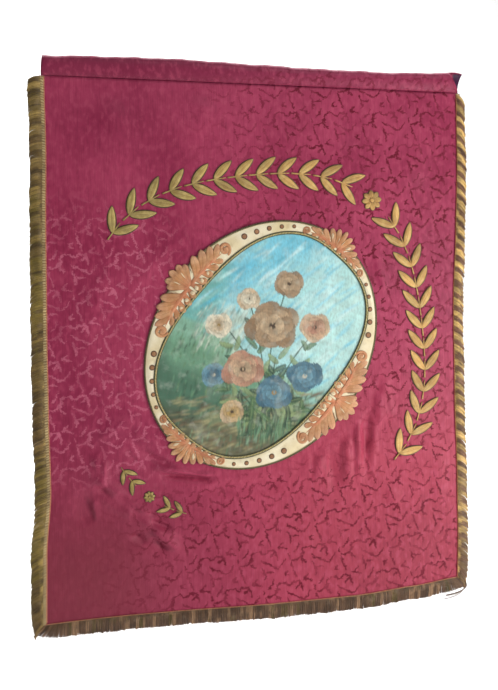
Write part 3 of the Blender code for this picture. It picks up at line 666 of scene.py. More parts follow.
def lattice_lines(tree, point, ragged, shift_x, shift_z, lines):
    """Adds the rose's lines on one lattice, the repeats' middles at the shift, to what is drawn already."""
    moved = vector_calc(tree, "SUBTRACT", point, (shift_x, shift_z, 0.0))
    middle_x, middle_z = REPEAT_MIDDLE
    low = (middle_x - 0.5 * REPEAT_ACROSS, middle_z - 0.5 * REPEAT_DOWN, -1.0)
    high = (middle_x + 0.5 * REPEAT_ACROSS, middle_z + 0.5 * REPEAT_DOWN, 1.0)
    cell = vector_calc(tree, "WRAP", moved, high, low)
    for line in ROSE_LINES:
        for start, end in zip(line, line[1:]):
            lines = draw_line_piece(tree, cell, ragged, start, end, lines)
    return lines


def damask_group():
    """The figure as a mask over an object place: the rose on two lattices, half a repeat apart."""
    group = bpy.data.node_groups.new("damask figure", "ShaderNodeTree")
    group.interface.new_socket("Place", in_out="INPUT", socket_type="NodeSocketVector")
    group.interface.new_socket("Figure", in_out="OUTPUT", socket_type="NodeSocketFloat")
    x, _, z = parts_of(group, group.nodes.new("NodeGroupInput").outputs["Place"])
    across = calc(group, "MULTIPLY", x, 1000.0)
    sloped = calc(group, "MULTIPLY", across, WEFT_SLOPE)
    up = calc(group, "SUBTRACT", calc(group, "MULTIPLY", z, 1000.0), sloped)
    flat = join_parts(group, across, up, 0.0)
    wavering = group.nodes.new("ShaderNodeTexNoise")
    group.links.new(flat, wavering.inputs["Vector"])
    wavering.inputs["Scale"].default_value = 0.15
    wavering.inputs["Detail"].default_value = 2.0
    centred = vector_calc(group, "SUBTRACT", wavering.outputs["Color"], (0.5, 0.5, 0.5))
    shift = vector_calc(group, "MULTIPLY", centred, (WAVER_MM, WAVER_MM, 0.0))
    point = vector_calc(group, "ADD", flat, shift)
    uneven_edge = calc(group, "SUBTRACT", noise(group, flat, 0.48, 1.0), 0.5)
    ragged = calc(group, "MULTIPLY", uneven_edge, RAGGED_MM)
    lines = lattice_lines(group, point, ragged, *ROSE_PLACE, 0.0)
    half_drop = (ROSE_PLACE[0] + 0.5 * REPEAT_ACROSS, ROSE_PLACE[1] - 0.5 * REPEAT_DOWN)
    lines = lattice_lines(group, point, ragged, *half_drop, lines)
    result = group.nodes.new("NodeGroupOutput")
    group.links.new(lines, result.inputs["Figure"])
    return group


DAMASK_FIGURE = damask_group()
print("damask repeat", REPEAT_ACROSS, "by", REPEAT_DOWN, "mm")


# %% The damask's dyes, and its painted light and shade
def solid(colour):
    return (*colour, 1.0)


SATIN_COOL = solid(dye(146, 44, 76))
# a lighter crimson laid in patches over the base, as painted sheen
SATIN_PAINTED_SHEEN = solid(dye(166, 58, 90))
# painted shade: the low left, far from the lamp, darker and redder
LOW_LEFT_SHADE_DYE = solid(dye(124, 44, 58))
# painted light: the low right, towards the lamp, lighter and redder
LOW_RIGHT_LIGHT_DYE = solid(dye(172, 63, 81))
NEAR_FOOT_DYE = solid(dye(142, 46, 64))
# the sleeve's darker crimson, painted darker still at the left as shade and lighter at the right as light
# from the lamp
SLEEVE_SHADED_LEFT_DYE = solid(dye(124, 38, 66))
SLEEVE_LIT_RIGHT_DYE = solid(dye(140, 46, 76))
# painted sheen: fine light streaks on the satin, and darker streaks between them
SHEEN_STREAK_DYE = solid(dye(190, 82, 110))
DULL_STREAK_DYE = solid(dye(112, 26, 54))
# the damask is one colour; its figure is painted darker near the lamp and lighter at the far left, as painted
# shade and light
FIGURE_PAINTED_SHADE_DYE = solid(dye(94, 0, 24))
FIGURE_PAINTED_LIGHT_DYE = solid(dye(206, 112, 136))
SLUB_DYE = solid(dye(112, 24, 52))
# painted shade inside the sleeve's open right end
SLEEVE_INSIDE_SHADE_DYE = solid(dye(58, 24, 54))
WARP_PITCH = 0.0007
WEFT_PITCH = 0.0011
print("damask dyes ready")


# %% Painted light and shade on the satin and the figure
def satin_ground(tree, x, z, sheen_patches):
    """The satin's colour before its streaks: painted sheen in patches, painted shade at the low left, painted
    light at the low right and darker near the foot; and the share of the low left shade.
    """
    # painted sheen: lighter patches over the base crimson
    ground = blend_colours(tree, ramp(tree, sheen_patches, 0.35, 0.65), SATIN_COOL, SATIN_PAINTED_SHEEN)
    # painted shade at the low left
    low_left_shade = calc(tree, "MULTIPLY", ramp(tree, z, -0.72, -1.08), ramp(tree, x, -0.02, -0.36, 0.0, 0.85))
    ground = blend_colours(tree, low_left_shade, ground, LOW_LEFT_SHADE_DYE)
    # painted light at the low right
    low_right_light = calc(tree, "MULTIPLY", ramp(tree, z, -0.50, -0.90), ramp(tree, x, -0.30, 0.20, 0.0, 0.75))
    ground = blend_colours(tree, low_right_light, ground, LOW_RIGHT_LIGHT_DYE)
    near_foot = calc(tree, "MULTIPLY", ramp(tree, z, -0.86, -1.10, 0.0, 0.70), ramp(tree, x, 0.02, 0.34))
    return blend_colours(tree, near_foot, ground, NEAR_FOOT_DYE), low_left_shade


def painted_figure_shade_share(tree, x, z, on_sleeve):
    """How strongly the figure is painted dark, as painted shade: most near the lamp and at the foot, little
    in the folds under the oval, and less on the sleeve.
    """
    by_lamp = ramp(tree, x, -0.26, 0.14, 0.0, 0.92)
    at_foot = calc(tree, "MULTIPLY", ramp(tree, z, -0.84, -0.96, 0.0, 0.92), ramp(tree, x, -0.42, -0.10))
    share = calc(tree, "MAXIMUM", by_lamp, at_foot)
    under_oval = calc(tree, "MULTIPLY", ramp(tree, z, -0.70, -0.76), ramp(tree, z, -0.90, -0.85))
    under_oval = calc(tree, "MULTIPLY", under_oval, ramp(tree, x, 0.33, 0.26, 0.0, 0.72))
    share = calc(tree, "MULTIPLY", share, calc(tree, "SUBTRACT", 1.0, under_oval))
    return calc(tree, "MULTIPLY", share, calc(tree, "MULTIPLY_ADD", on_sleeve, -0.40, 1.0))


def painted_figure_light_share(tree, x, z):
    """How strongly the figure is painted lighter than the satin, as painted light: only at the left, between
    the upper corner and the low folds.
    """
    at_left = calc(tree, "MULTIPLY", ramp(tree, x, -0.12, -0.27, 0.0, 0.62), ramp(tree, z, -0.24, -0.38))
    return calc(tree, "MULTIPLY", at_left, ramp(tree, z, -0.93, -0.80))


def painted_sheen_streaks(tree, place, ground, low_left_shade):
    """The satin with painted sheen: fine light and dark streaks, which fade out in the painted shade of the
    low left corner.
    """
    veined = noise(tree, vector_calc(tree, "MULTIPLY", place, (1.0, 1.0, 0.6)), 95.0, 3.0)
    open_share = calc(tree, "MULTIPLY_ADD", low_left_shade, -0.95, 1.0)
    # painted sheen streaks, faded out in the painted shade of the low left
    sheen_streaks = calc(tree, "MULTIPLY", ramp(tree, veined, 0.48, 0.66, 0.0, 0.30), open_share)
    glossy = blend_colours(tree, sheen_streaks, ground, SHEEN_STREAK_DYE)
    dull_streaks = calc(tree, "MULTIPLY", ramp(tree, veined, 0.46, 0.32, 0.0, 0.22), open_share)
    return blend_colours(tree, dull_streaks, glossy, DULL_STREAK_DYE)


print("satin helpers ready")


# %% The damask's finish
def weave_height(tree, place, x, z):
    """Warp and weft ridges with a little unevenness, as the height for a bump."""
    warp = calc(tree, "MULTIPLY", ridges(tree, x, WARP_PITCH), 0.6)
    weft = calc(tree, "MULTIPLY", ridges(tree, z, WEFT_PITCH), 0.4)
    rough = calc(tree, "MULTIPLY", noise(tree, place, 120.0, 3.0), 3.0)
    return calc(tree, "ADD", calc(tree, "ADD", warp, weft), rough)


def damask_finish(name):
    material, tree, shader = new_finish(
        name, 0.5, Sheen_Weight=0.05, Sheen_Roughness=0.45, Sheen_Tint=(1.0, 0.5, 0.62, 1.0),
        Specular_IOR_Level=0.20,
    )
    place = object_place(tree)
    x, y, z = parts_of(tree, place)
    node = tree.nodes.new("ShaderNodeGroup")
    node.node_tree = DAMASK_FIGURE
    tree.links.new(place, node.inputs["Place"])
    figure = node.outputs["Figure"]
    # patches of painted sheen; the same patches also vary the roughness
    sheen_patches = noise(tree, place, 6.0, 4.0)
    ground, low_left_shade = satin_ground(tree, x, z, sheen_patches)
    on_sleeve = ramp(tree, z, SEAM_Z - 0.001, SEAM_Z + 0.001)
    figure_shade_share = painted_figure_shade_share(tree, x, z, on_sleeve)
    figure_light_share = painted_figure_light_share(tree, x, z)
    # the sleeve's darker tone, with painted shade at its left and painted light at its right
    sleeve_shade_to_light = blend_colours(tree, ramp(tree, x, -0.3, 0.4), SLEEVE_SHADED_LEFT_DYE, SLEEVE_LIT_RIGHT_DYE)
    ground = blend_colours(tree, calc(tree, "MULTIPLY", on_sleeve, 0.8), ground, sleeve_shade_to_light)
    glossy = painted_sheen_streaks(tree, place, ground, low_left_shade)
    patchy = ramp(tree, noise(tree, place, 24.0, 2.0), 0.34, 0.60, 0.42, 1.0)
    # the figure is painted dark or light by place, as painted shade and light
    darkened = calc(tree, "MULTIPLY", calc(tree, "MULTIPLY", figure, figure_shade_share), patchy)
    lightened = calc(tree, "MULTIPLY", calc(tree, "MULTIPLY", figure, figure_light_share), patchy)
    figured = blend_colours(tree, darkened, glossy, FIGURE_PAINTED_SHADE_DYE)
    figured = blend_colours(tree, lightened, figured, FIGURE_PAINTED_LIGHT_DYE)
    slubs = noise(tree, vector_calc(tree, "MULTIPLY", place, (520.0, 520.0, 26.0)), 1.0, 2.0)
    threads = blend_colours(tree, ramp(tree, slubs, 0.42, 0.72, 0.0, 0.30), figured, SLUB_DYE)
    # painted shade on the inside of the sleeve's back, seen past the slanted front
    behind = calc(tree, "MULTIPLY", ramp(tree, y, 0.002, 0.006), ramp(tree, x, 0.455, 0.464))
    threads = blend_colours(tree, calc(tree, "MULTIPLY", behind, on_sleeve), threads, SLEEVE_INSIDE_SHADE_DYE)
    tree.links.new(threads, shader.inputs["Base Color"])
    gloss = calc(tree, "ADD", ramp(tree, sheen_patches, 0.3, 0.7, 0.38, 0.50), calc(tree, "MULTIPLY", figure, 0.2))
    tree.links.new(gloss, shader.inputs["Roughness"])
    height = weave_height(tree, place, x, z)
    tree.links.new(relief(tree, height, 0.00012, 0.6), shader.inputs["Normal"])
    return material


DAMASK = damask_finish("crimson damask")
print("damask nodes", len(DAMASK.node_tree.nodes))

# %% [markdown]
# ## The damask panel
# A sheet this plain is a grid, pushed to its place point by point. Its lines lie closer together under the
# medallion, where the creases are narrow, and further apart where the cloth hangs smooth. Its long edges
# follow the fringe, which draws in and lets out a little, and the foot is higher at the right. Besides the
# folds the cloth has a faint uneven swell all over, as washed silk has.


# %% Lay the panel
def ripple(x, drop):
    """The faint swell of old silk."""
    soft = 0.55 * math.sin(31.0 * x + 9.0 * drop) * math.sin(23.0 * drop - 6.0 * x)
    fine = 0.30 * math.sin(83.0 * x - 37.0 * drop) * math.sin(71.0 * drop + 19.0 * x)
    return 0.0005 * (soft + fine)


PANEL_COLUMNS = 188
PANEL_ROWS = 236
COLUMN_SHARES = (0.0, 0.048, 0.447, 0.559, 0.904, 1.0)
COLUMN_PLACES = (-1.0, -0.84, -0.19, 0.19, 0.67, 1.0)
ROW_SHARES = (0.0, 0.445, 0.894, 1.0)
ROW_PLACES = (0.0, 0.624, 0.893, 1.0)
UNDERLAP = 0.006
PANEL_TOP = 0.0003
SHEET = 0.0008

bm = bmesh.new()
bmesh.ops.create_grid(bm, x_segments=PANEL_COLUMNS, y_segments=PANEL_ROWS, size=0.5)
for vertex in bm.verts:
    across = float(np.interp(vertex.co.x + 0.5, COLUMN_SHARES, COLUMN_PLACES))
    down = float(np.interp(0.5 - vertex.co.y, ROW_SHARES, ROW_PLACES))
    foot = bottom_line(across * PANEL_HALF) + UNDERLAP
    drop = PANEL_TOP + (foot - PANEL_TOP) * down
    middle = 0.5 * (left_line(drop) + right_line(drop))
    width = 0.5 * (right_line(drop) - left_line(drop)) + UNDERLAP
    x = middle + across * width
    swell = ripple(x, drop) * eased(drop / 0.05)
    vertex.co = (x, hang(x, drop) - creased(x, drop) + swell, SEAM_Z - drop)
bmesh.ops.recalc_face_normals(bm, faces=bm.faces[:])
panel = add_piece("panel_of_damask", mesh_from(bm, "panel_of_damask"), DAMASK, "damask", "damask_panel")
shell = panel.modifiers.new("cloth thickness", "SOLIDIFY")
shell.thickness = SHEET
shell.offset = 0.0
print("panel triangles", triangles(bake_modifiers(panel)))

# %% [markdown]
# ## The pole sleeve
# The top of the cloth is turned over and sewn down behind, which leaves a tube for the pole. Seen as a
# section it is one line: up the tail, round the back, over the top, down the front to the seam. A grid is
# wrapped along that line, and gathers run up from the seam where the stitches pull. At the right end the
# front is cut on a slant, so the back of the tube looks out past it; its inside is painted dark there, as
# shade.

# %% The sleeve's section
SLEEVE_HEIGHT = 0.046
SLEEVE_DEPTH = 0.024
SLEEVE_TAIL = 0.012
SLEEVE_LEFT = -0.467
SLEEVE_RIGHT = 0.467
TAIL_SHARE = 0.10
TAIL_BACK = 0.0018
TAIL_LAP = 0.0012
SEWN_SPAN = 0.022
SLEEVE_EGG = 0.25


def sleeve_line(share):
    """A point of the sleeve's section as (back, up) from the seam; share 0 is the tail, 1 the front seam."""
    if share < TAIL_SHARE:
        return TAIL_BACK, -SLEEVE_TAIL + (SLEEVE_TAIL + TAIL_LAP) * share / TAIL_SHARE
    turn = (share - TAIL_SHARE) / (1.0 - TAIL_SHARE)
    angle = 2.0 * math.pi * (SEWN_SPAN + (1.0 - 2.0 * SEWN_SPAN) * turn) - 0.5 * math.pi
    back = (0.5 * SLEEVE_DEPTH - 0.0008) * math.cos(angle) * (1.0 + SLEEVE_EGG * math.sin(angle))
    return back, 0.5 * SLEEVE_HEIGHT + (0.5 * SLEEVE_HEIGHT - 0.0006) * math.sin(angle)


def mix(first, second, share):
    return first + (second - first) * share


print("sleeve section", [round(v, 4) for v in sleeve_line(0.5)])

# %% Gathers and the curl at the end
GATHER_WIDE = 0.021
GATHER_NARROW = 0.0093
GATHER_DEPTH = 0.0007
GATHER_FOOT = 0.003
GATHER_REACH = 0.010
CURL_X = 0.425
CURL_WIDTH = 0.008
CURL_DEPTH = 0.0030


def gathers(x, up):
    """Small puckers that rise from the seam and fade towards the sleeve's top."""
    wide = math.sin(2.0 * math.pi * x / GATHER_WIDE + 2.2 * math.sin(17.0 * x))
    narrow = math.sin(2.0 * math.pi * x / GATHER_NARROW)
    fade = math.exp(-max(up - GATHER_FOOT, 0.0) / GATHER_REACH) * eased(up / GATHER_FOOT)
    return GATHER_DEPTH * (wide + 0.5 * narrow) * fade


def end_curl(x, high):
    """The soft roll that the front keeps a little way in from its slanted end."""
    off = (x - CURL_X + 0.012 * high) / CURL_WIDTH
    return CURL_DEPTH * math.exp(-(off**2)) * math.sin(math.pi * min(high, 1.0))


# %% Wrap the sleeve
SLEEVE_COLUMNS = 160
SLEEVE_ROWS = 60
LEFT_SLANT = 0.004
BACK_SLANT = 0.015
FRONT_SLANT = -0.026

bm = bmesh.new()
bmesh.ops.create_grid(bm, x_segments=SLEEVE_COLUMNS, y_segments=SLEEVE_ROWS, size=0.5)
for vertex in bm.verts:
    share = vertex.co.y + 0.5
    back, up = sleeve_line(share)
    high = max(up, 0.0) / SLEEVE_HEIGHT
    left = SLEEVE_LEFT + high * LEFT_SLANT
    right = SLEEVE_RIGHT + high * mix(BACK_SLANT, FRONT_SLANT, eased((share - 0.50) / 0.10))
    x = left + (right - left) * (vertex.co.x + 0.5)
    out = 1.0 if share > 0.5 else -1.0
    sag = 0.0011 * math.sin(9.0 * x + 0.8) * math.sin(math.pi * min(high, 1.0))
    curl = end_curl(x, high) if out > 0.0 else 0.0
    back -= out * (gathers(x, up) + sag + curl)
    up += 0.0007 * high * (math.sin(61.0 * x) + 0.6 * math.sin(137.0 * x + 1.0))
    vertex.co = (x, back, SEAM_Z + up + high * read_edge(SLEEVE_TOP, x))
bmesh.ops.recalc_face_normals(bm, faces=bm.faces[:])
sleeve = add_piece("sleeve_of_damask", mesh_from(bm, "sleeve_of_damask"), DAMASK, "damask", "pole_sleeve")
shell = sleeve.modifiers.new("cloth thickness", "SOLIDIFY")
shell.thickness = SHEET
shell.offset = 0.0
print("sleeve triangles", triangles(bake_modifiers(sleeve)))

# %% [markdown]
# ## Cords, braid and thread
# A cord is two or more plies laid round each other. Each ply is one spline of a curve, wound round the
# cord's own line, and the curve's bevel gives it its thickness. The curve is then made a mesh, and each
# ply keeps its dye in a colour attribute, because all plies share one material.


# %% Winding a cord
def curve_mesh(name, lines, radius, closed=False, sides=0, radii=None):
    """A mesh of round threads along lines of (x, y, z) points."""
    curve = bpy.data.curves.new(name, "CURVE")
    curve.dimensions = "3D"
    curve.bevel_depth = radius
    curve.bevel_resolution = sides
    curve.use_fill_caps = not closed
    for line in lines:
        spline = curve.splines.new("POLY")
        spline.points.add(len(line) - 1)
        spline.use_cyclic_u = closed
        spline.points.foreach_set("co", np.column_stack([line, np.ones(len(line))]).ravel())
        if radii is not None:
            spline.points.foreach_set("radius", np.asarray(radii, dtype=float))
    holder = bpy.data.objects.new(name, curve)
    bpy.context.scene.collection.objects.link(holder)
    bpy.context.view_layer.update()
    mesh = bpy.data.meshes.new_from_object(holder.evaluated_get(bpy.context.evaluated_depsgraph_get()))
    bpy.data.objects.remove(holder)
    bpy.data.curves.remove(curve)
    mesh.name = name
    mesh.shade_smooth()
    return mesh


def give_colours(mesh, name, colours, lines):
    """Writes one colour for each line of a mesh made by curve_mesh."""
    each = len(mesh.vertices) // lines
    layer = mesh.attributes.new(name, "FLOAT_COLOR", "POINT")
    values = np.ones((len(mesh.vertices), 4))
    values[: each * lines, :3] = np.repeat(np.asarray(colours)[:, :3], each, axis=0)
    layer.data.foreach_set("color", values.ravel())


def evenly(points, step, closed):
    """Points along a polyline at an even step."""
    line = np.asarray(points, dtype=float)
    if closed:
        line = np.vstack([line, line[:1]])
    lengths = np.concatenate([[0.0], np.cumsum(np.linalg.norm(np.diff(line, axis=0), axis=1))])
    count = max(int(round(lengths[-1] / step)), 3)
    places = np.linspace(0.0, lengths[-1], count, endpoint=not closed)
    return np.column_stack([np.interp(places, lengths, line[:, i]) for i in range(3)]), lengths[-1]


def wound_plies(points, radius, pitch, plies, closed=False, steps=8):
    """The lines of a cord's plies, wound round the line through the points, which lie on the cloth."""
    path, length = evenly(points, pitch / steps, closed)
    ahead = np.roll(path, -1, axis=0) - np.roll(path, 1, axis=0)
    if not closed:
        ahead[0], ahead[-1] = path[1] - path[0], path[-1] - path[-2]
    ahead /= np.linalg.norm(ahead, axis=1)[:, None]
    outward = np.array([0.0, -1.0, 0.0])
    aside = np.cross(ahead, outward)
    turns = round(length / pitch)
    phase = np.linspace(0.0, 2.0 * math.pi * turns, len(path), endpoint=not closed)
    lines = []
    for ply in range(plies):
        angle = phase + 2.0 * math.pi * ply / plies
        lines.append(path + radius * (np.cos(angle)[:, None] * aside + np.sin(angle)[:, None] * outward))
    return lines


print("cord of two plies:", len(wound_plies([(0, 0, 0), (0.05, 0, 0)], 0.001, 0.006, 2)), "lines")


# %% The finish of dyed thread
THREAD_SHADE = (0.03, 0.02, 0.012, 1.0)
THREAD_WEAR = (0.62, 0.52, 0.36, 1.0)


def thread_finish(name, roughness, metallic, pitch, **more):
    """Twisted silk or metal thread, its colour from the attribute dye."""
    material, tree, shader = new_finish(name, roughness, Metallic=metallic, **more)
    place = object_place(tree)
    spots = noise(tree, place, 420.0, 2.0)
    worn = noise(tree, place, 38.0, 2.0)
    shade = ramp(tree, spots, 0.35, 0.75, 0.0, 0.45)
    colour = blend_colours(tree, shade, attribute(tree, "dye"), THREAD_SHADE)
    colour = blend_colours(tree, ramp(tree, worn, 0.55, 0.8, 0.0, 0.35), colour, THREAD_WEAR, "SOFT_LIGHT")
    tree.links.new(colour, shader.inputs["Base Color"])
    x, _, z = parts_of(tree, place)
    twist = ridges(tree, calc(tree, "ADD", x, z), pitch)
    tree.links.new(relief(tree, calc(tree, "ADD", twist, spots), 0.00016, 0.6), shader.inputs["Normal"])
    return material


CORD = thread_finish("dyed silk cord", 0.5, 0.15, 0.0009, Sheen_Weight=0.3)
print("thread finish ready")

# %% [markdown]
# ## The silk fringe
# The fringe is hundreds of fine threads that leave a braid over the cloth's edge. At the sides the threads
# stand out sideways and gravity slants them down, at the foot they hang, and at the corners they fan. They
# cling together in locks, so each thread leans towards the middle of its lock and the locks stand proud of
# the gaps between them. On the right the dye alternates in gold and mauve blocks; on the left and at the
# foot it is mostly umber and olive, with single lighter locks.

# %% Where the braid and the threads start
HEADING_WIDTH = 0.009
HEADING_THICK = 0.0024
BRAID_GAP = 0.0004
FRINGE_TOP = 0.002
LOCK_LENGTH = 0.0205
CORNER_REACH = 0.050
FOOT_LEFT = bottom_line(-PANEL_HALF)
FOOT_RIGHT = bottom_line(PANEL_HALF)
CORNER_LEFT = left_line(FOOT_LEFT)
CORNER_RIGHT = right_line(FOOT_RIGHT)


def left_side(share, out):
    drop = FRINGE_TOP + (FOOT_LEFT + out - FRINGE_TOP) * share
    return left_line(drop) - out, drop


def right_side(share, out):
    drop = FRINGE_TOP + (FOOT_RIGHT + out - FRINGE_TOP) * share
    return right_line(drop) + out, drop


def foot_side(share, out):
    x = CORNER_LEFT - out + (CORNER_RIGHT - CORNER_LEFT + 2.0 * out) * share
    return x, bottom_line(x) + out


Slant = namedtuple("Slant", "top foot fan_start fan_end")
Braid = namedtuple("Braid", "inside outside thick cell")
Locks = namedtuple("Locks", "pitch lean proud ragged root")
Side = namedtuple("Side", "name node line length outward slant braid locks")
SIDES = (
    Side("left", "fringe_left", left_side, 1.14, (-1.0, 0.0), Slant(5, 16, 0, 30),
         Braid(0.0042, 0.0040, 0.0020, 0.0009), Locks(0.0052, 0.06, 0.0007, 0.07, 0.0030)),
    Side("right", "fringe_right", right_side, 1.13, (1.0, 0.0), Slant(38, 20, 0, -26),
         Braid(0.0004, 0.0090, 0.0009, 0.0040), Locks(0.0100, 0.16, 0.0018, 0.12, 0.0006)),
    Side("foot", "fringe_bottom", foot_side, 0.93, (0.0, 1.0), Slant(0, 0, -46, 46),
         Braid(0.0004, 0.0090, 0.0009, 0.0040), Locks(0.0050, 0.08, 0.0011, 0.10, 0.0010)),
)
print("fringe sides", len(SIDES))

# %% Dye blocks along the fringe
GOLD_THREAD = np.array(dye(238, 200, 124))
MAUVE_THREAD = np.array(dye(132, 94, 70))
UMBER_THREAD = np.array(dye(106, 76, 52))
OLIVE_THREAD = np.array(dye(142, 124, 54))
TAN_THREAD = np.array(dye(176, 140, 104))
BLOCK = 0.0100


def uneven(place, seed):
    """A slow wander between -1 and 1 along the fringe."""
    return 0.6 * math.sin(53.0 * place + seed) + 0.4 * math.sin(151.0 * place + 2.3 * seed)


def block_share(place, seed):
    """1 in a gold block and 0 in a brown one, with soft and uneven borders."""
    return eased(0.5 + 1.2 * math.sin(math.pi * (place + 0.0032 * uneven(place, seed)) / BLOCK))


def thread_colour(side, share, place, lock_chance):
    """The dye of one thread; lock_chance between 0 and 1 belongs to its lock, and paints the lock lighter or
    darker, as painted highlight and shade.
    """
    if side.name == "right":
        base = mix(MAUVE_THREAD, GOLD_THREAD, block_share(place, 1.0))
        base = mix(base, OLIVE_THREAD, 0.70 * eased((0.26 - share) / 0.24))
        low, corner = eased((share - 0.70) / 0.2), eased((share - 0.92) / 0.05)
        base = mix(base, UMBER_THREAD, 0.35 * low + 0.50 * corner)
    elif side.name == "left":
        patch = eased(0.5 + 0.9 * uneven(0.31 * place, 4.0))
        base = mix(UMBER_THREAD, OLIVE_THREAD, 0.30 + 0.60 * patch * (1.0 if lock_chance > 0.35 else 0.3))
        blocks = block_share(0.9 * place, 2.0) * (0.25 + 0.75 * eased((0.55 - share) / 0.35))
        base = mix(base, mix(OLIVE_THREAD, GOLD_THREAD, 0.50), 0.90 * blocks)
    else:
        base = mix(0.92 * UMBER_THREAD, TAN_THREAD, 0.60 if lock_chance > 0.82 else 0.12 * lock_chance)
        base = mix(base, OLIVE_THREAD, 0.5 if lock_chance < 0.14 else 0.0)
    # each lock painted lighter or darker, as painted highlights on the locks and painted shade in the gaps;
    # each thread also gets a random tone
    return base * (0.60 + 0.60 * lock_chance) * (0.78 + 0.44 * chance.random())


# %% Comb the threads
THREAD_PITCH = 0.00135
THREAD_RADIUS = 0.00070
THREAD_POINTS = 5
THREAD_LAYERS = 3
LAYER_STEP = 0.0007
ROOT_LIFT = 0.0019
TIP_SINK = 0.0016
THREAD_DROOP = 0.22


def thread_reach(side, place, lock_chance):
    """The length of one thread, which differs a little from lock to lock and is longer at the far corner."""
    locks = side.locks
    near_end = 1.0 - eased((side.length - place) / CORNER_REACH)
    length = (LOCK_LENGTH + HEADING_WIDTH - locks.root) * (1.0 + locks.ragged * (chance.random() - 0.55))
    length *= 1.0 + 0.06 * (lock_chance - 0.5) + 0.04 * uneven(place, 7.0)
    return length * (1.0 + 0.16 * near_end)


def thread_angle(side, share, off_lock, length, lock_chance):
    """The way one thread points: outwards, slanted by its weight, fanned at corners, drawn to its lock."""
    slants, place = side.slant, share * side.length
    near_start = 1.0 - eased(place / CORNER_REACH)
    near_end = 1.0 - eased((side.length - place) / CORNER_REACH)
    fan = math.radians(slants.fan_start * near_start + slants.fan_end * near_end)
    lean = side.locks.lean * off_lock / length
    lean += 0.03 * (lock_chance - 0.5) + 0.05 * (chance.random() - 0.5)
    out_x, out_down = side.outward
    slant = math.radians(slants.top + (slants.foot - slants.top) * share)
    return math.atan2(-out_down, out_x) + fan - slant * out_x + (-lean if out_x < 0.0 else lean)


def comb_thread(side, share, layer, lock_chances):
    """The line and the dye of one thread."""
    place = share * side.length
    pitch = side.locks.pitch
    lock_chance = lock_chances[int(place / pitch)]
    off_lock = place - (int(place / pitch) + 0.5) * pitch
    x, drop = side.line(share, side.locks.root)
    length = thread_reach(side, place, lock_chance)
    angle = thread_angle(side, share, off_lock, length, lock_chance)
    proud = side.locks.proud * math.cos(math.pi * off_lock / pitch)
    height = 0.5 * CLOTH + BRAID_GAP + HEADING_THICK + LAYER_STEP * layer - 0.0002 + proud
    line = []
    for step in range(THREAD_POINTS):
        t = step / (THREAD_POINTS - 1)
        bent = angle - THREAD_DROOP * side.outward[0] * t * t
        px, pz = x + math.cos(bent) * length * t, -drop + math.sin(bent) * length * t
        lift = mix(ROOT_LIFT, height, eased(t / 0.22)) - TIP_SINK * eased((t - 0.45) / 0.55)
        lift += 0.0005 * math.sin(5.0 * t + 9.0 * share * layer)
        line.append((px, hang(px, -pz, ()) - lift, SEAM_Z + pz))
    return line, thread_colour(side, share, place, lock_chance)


def comb_side(side):
    """All the threads of one side, as lines and dyes."""
    count = int(side.length / THREAD_PITCH)
    lock_chances = chance.random(int(side.length / side.locks.pitch) + 2)
    combed = []
    for layer in range(THREAD_LAYERS):
        for i in range(count):
            share = min((i + layer / THREAD_LAYERS + 0.5 * chance.random()) / count, 0.9995)
            combed.append(comb_thread(side, share, layer, lock_chances))
    return [line for line, _ in combed], [colour for _, colour in combed]


# %% The silk of the threads
def fringe_finish():
    material, tree, shader = new_finish(
        "fringe silk", 0.46, Sheen_Weight=0.08, Sheen_Roughness=0.4, Specular_IOR_Level=0.4
    )
    place = object_place(tree)
    fine = noise(tree, place, 900.0, 2.0)
    soiled = noise(tree, place, 60.0, 3.0)
    dark, dust = solid(dye(58, 44, 30)), solid(dye(196, 176, 150))
    colour = blend_colours(tree, ramp(tree, fine, 0.3, 0.75, 0.0, 0.45), attribute(tree, "dye"), dark)
    colour = blend_colours(tree, ramp(tree, soiled, 0.50, 0.72, 0.0, 0.35), colour, dark)
    colour = blend_colours(tree, ramp(tree, soiled, 0.44, 0.30, 0.0, 0.10), colour, dust)
    tree.links.new(colour, shader.inputs["Base Color"])
    tree.links.new(relief(tree, fine, 0.0002, 0.5), shader.inputs["Normal"])
    return material


FRINGE_SILK = fringe_finish()
# the braid's colour follows its ribs: a painted highlight on each crown and painted shade in the grooves
BRAID_RIB_HIGHLIGHT = np.array(dye(250, 226, 164))
BRAID_GROOVE_SHADE = np.array(dye(142, 104, 62))
BRAID_RIB = 0.0054


# %% Braid that heads the threads
def face_front(bm):
    """Points a closed form's faces outwards."""
    bmesh.ops.recalc_face_normals(bm, faces=bm.faces[:])
    if bm.calc_volume(signed=True) < 0.0:
        bmesh.ops.reverse_faces(bm, faces=bm.faces[:])


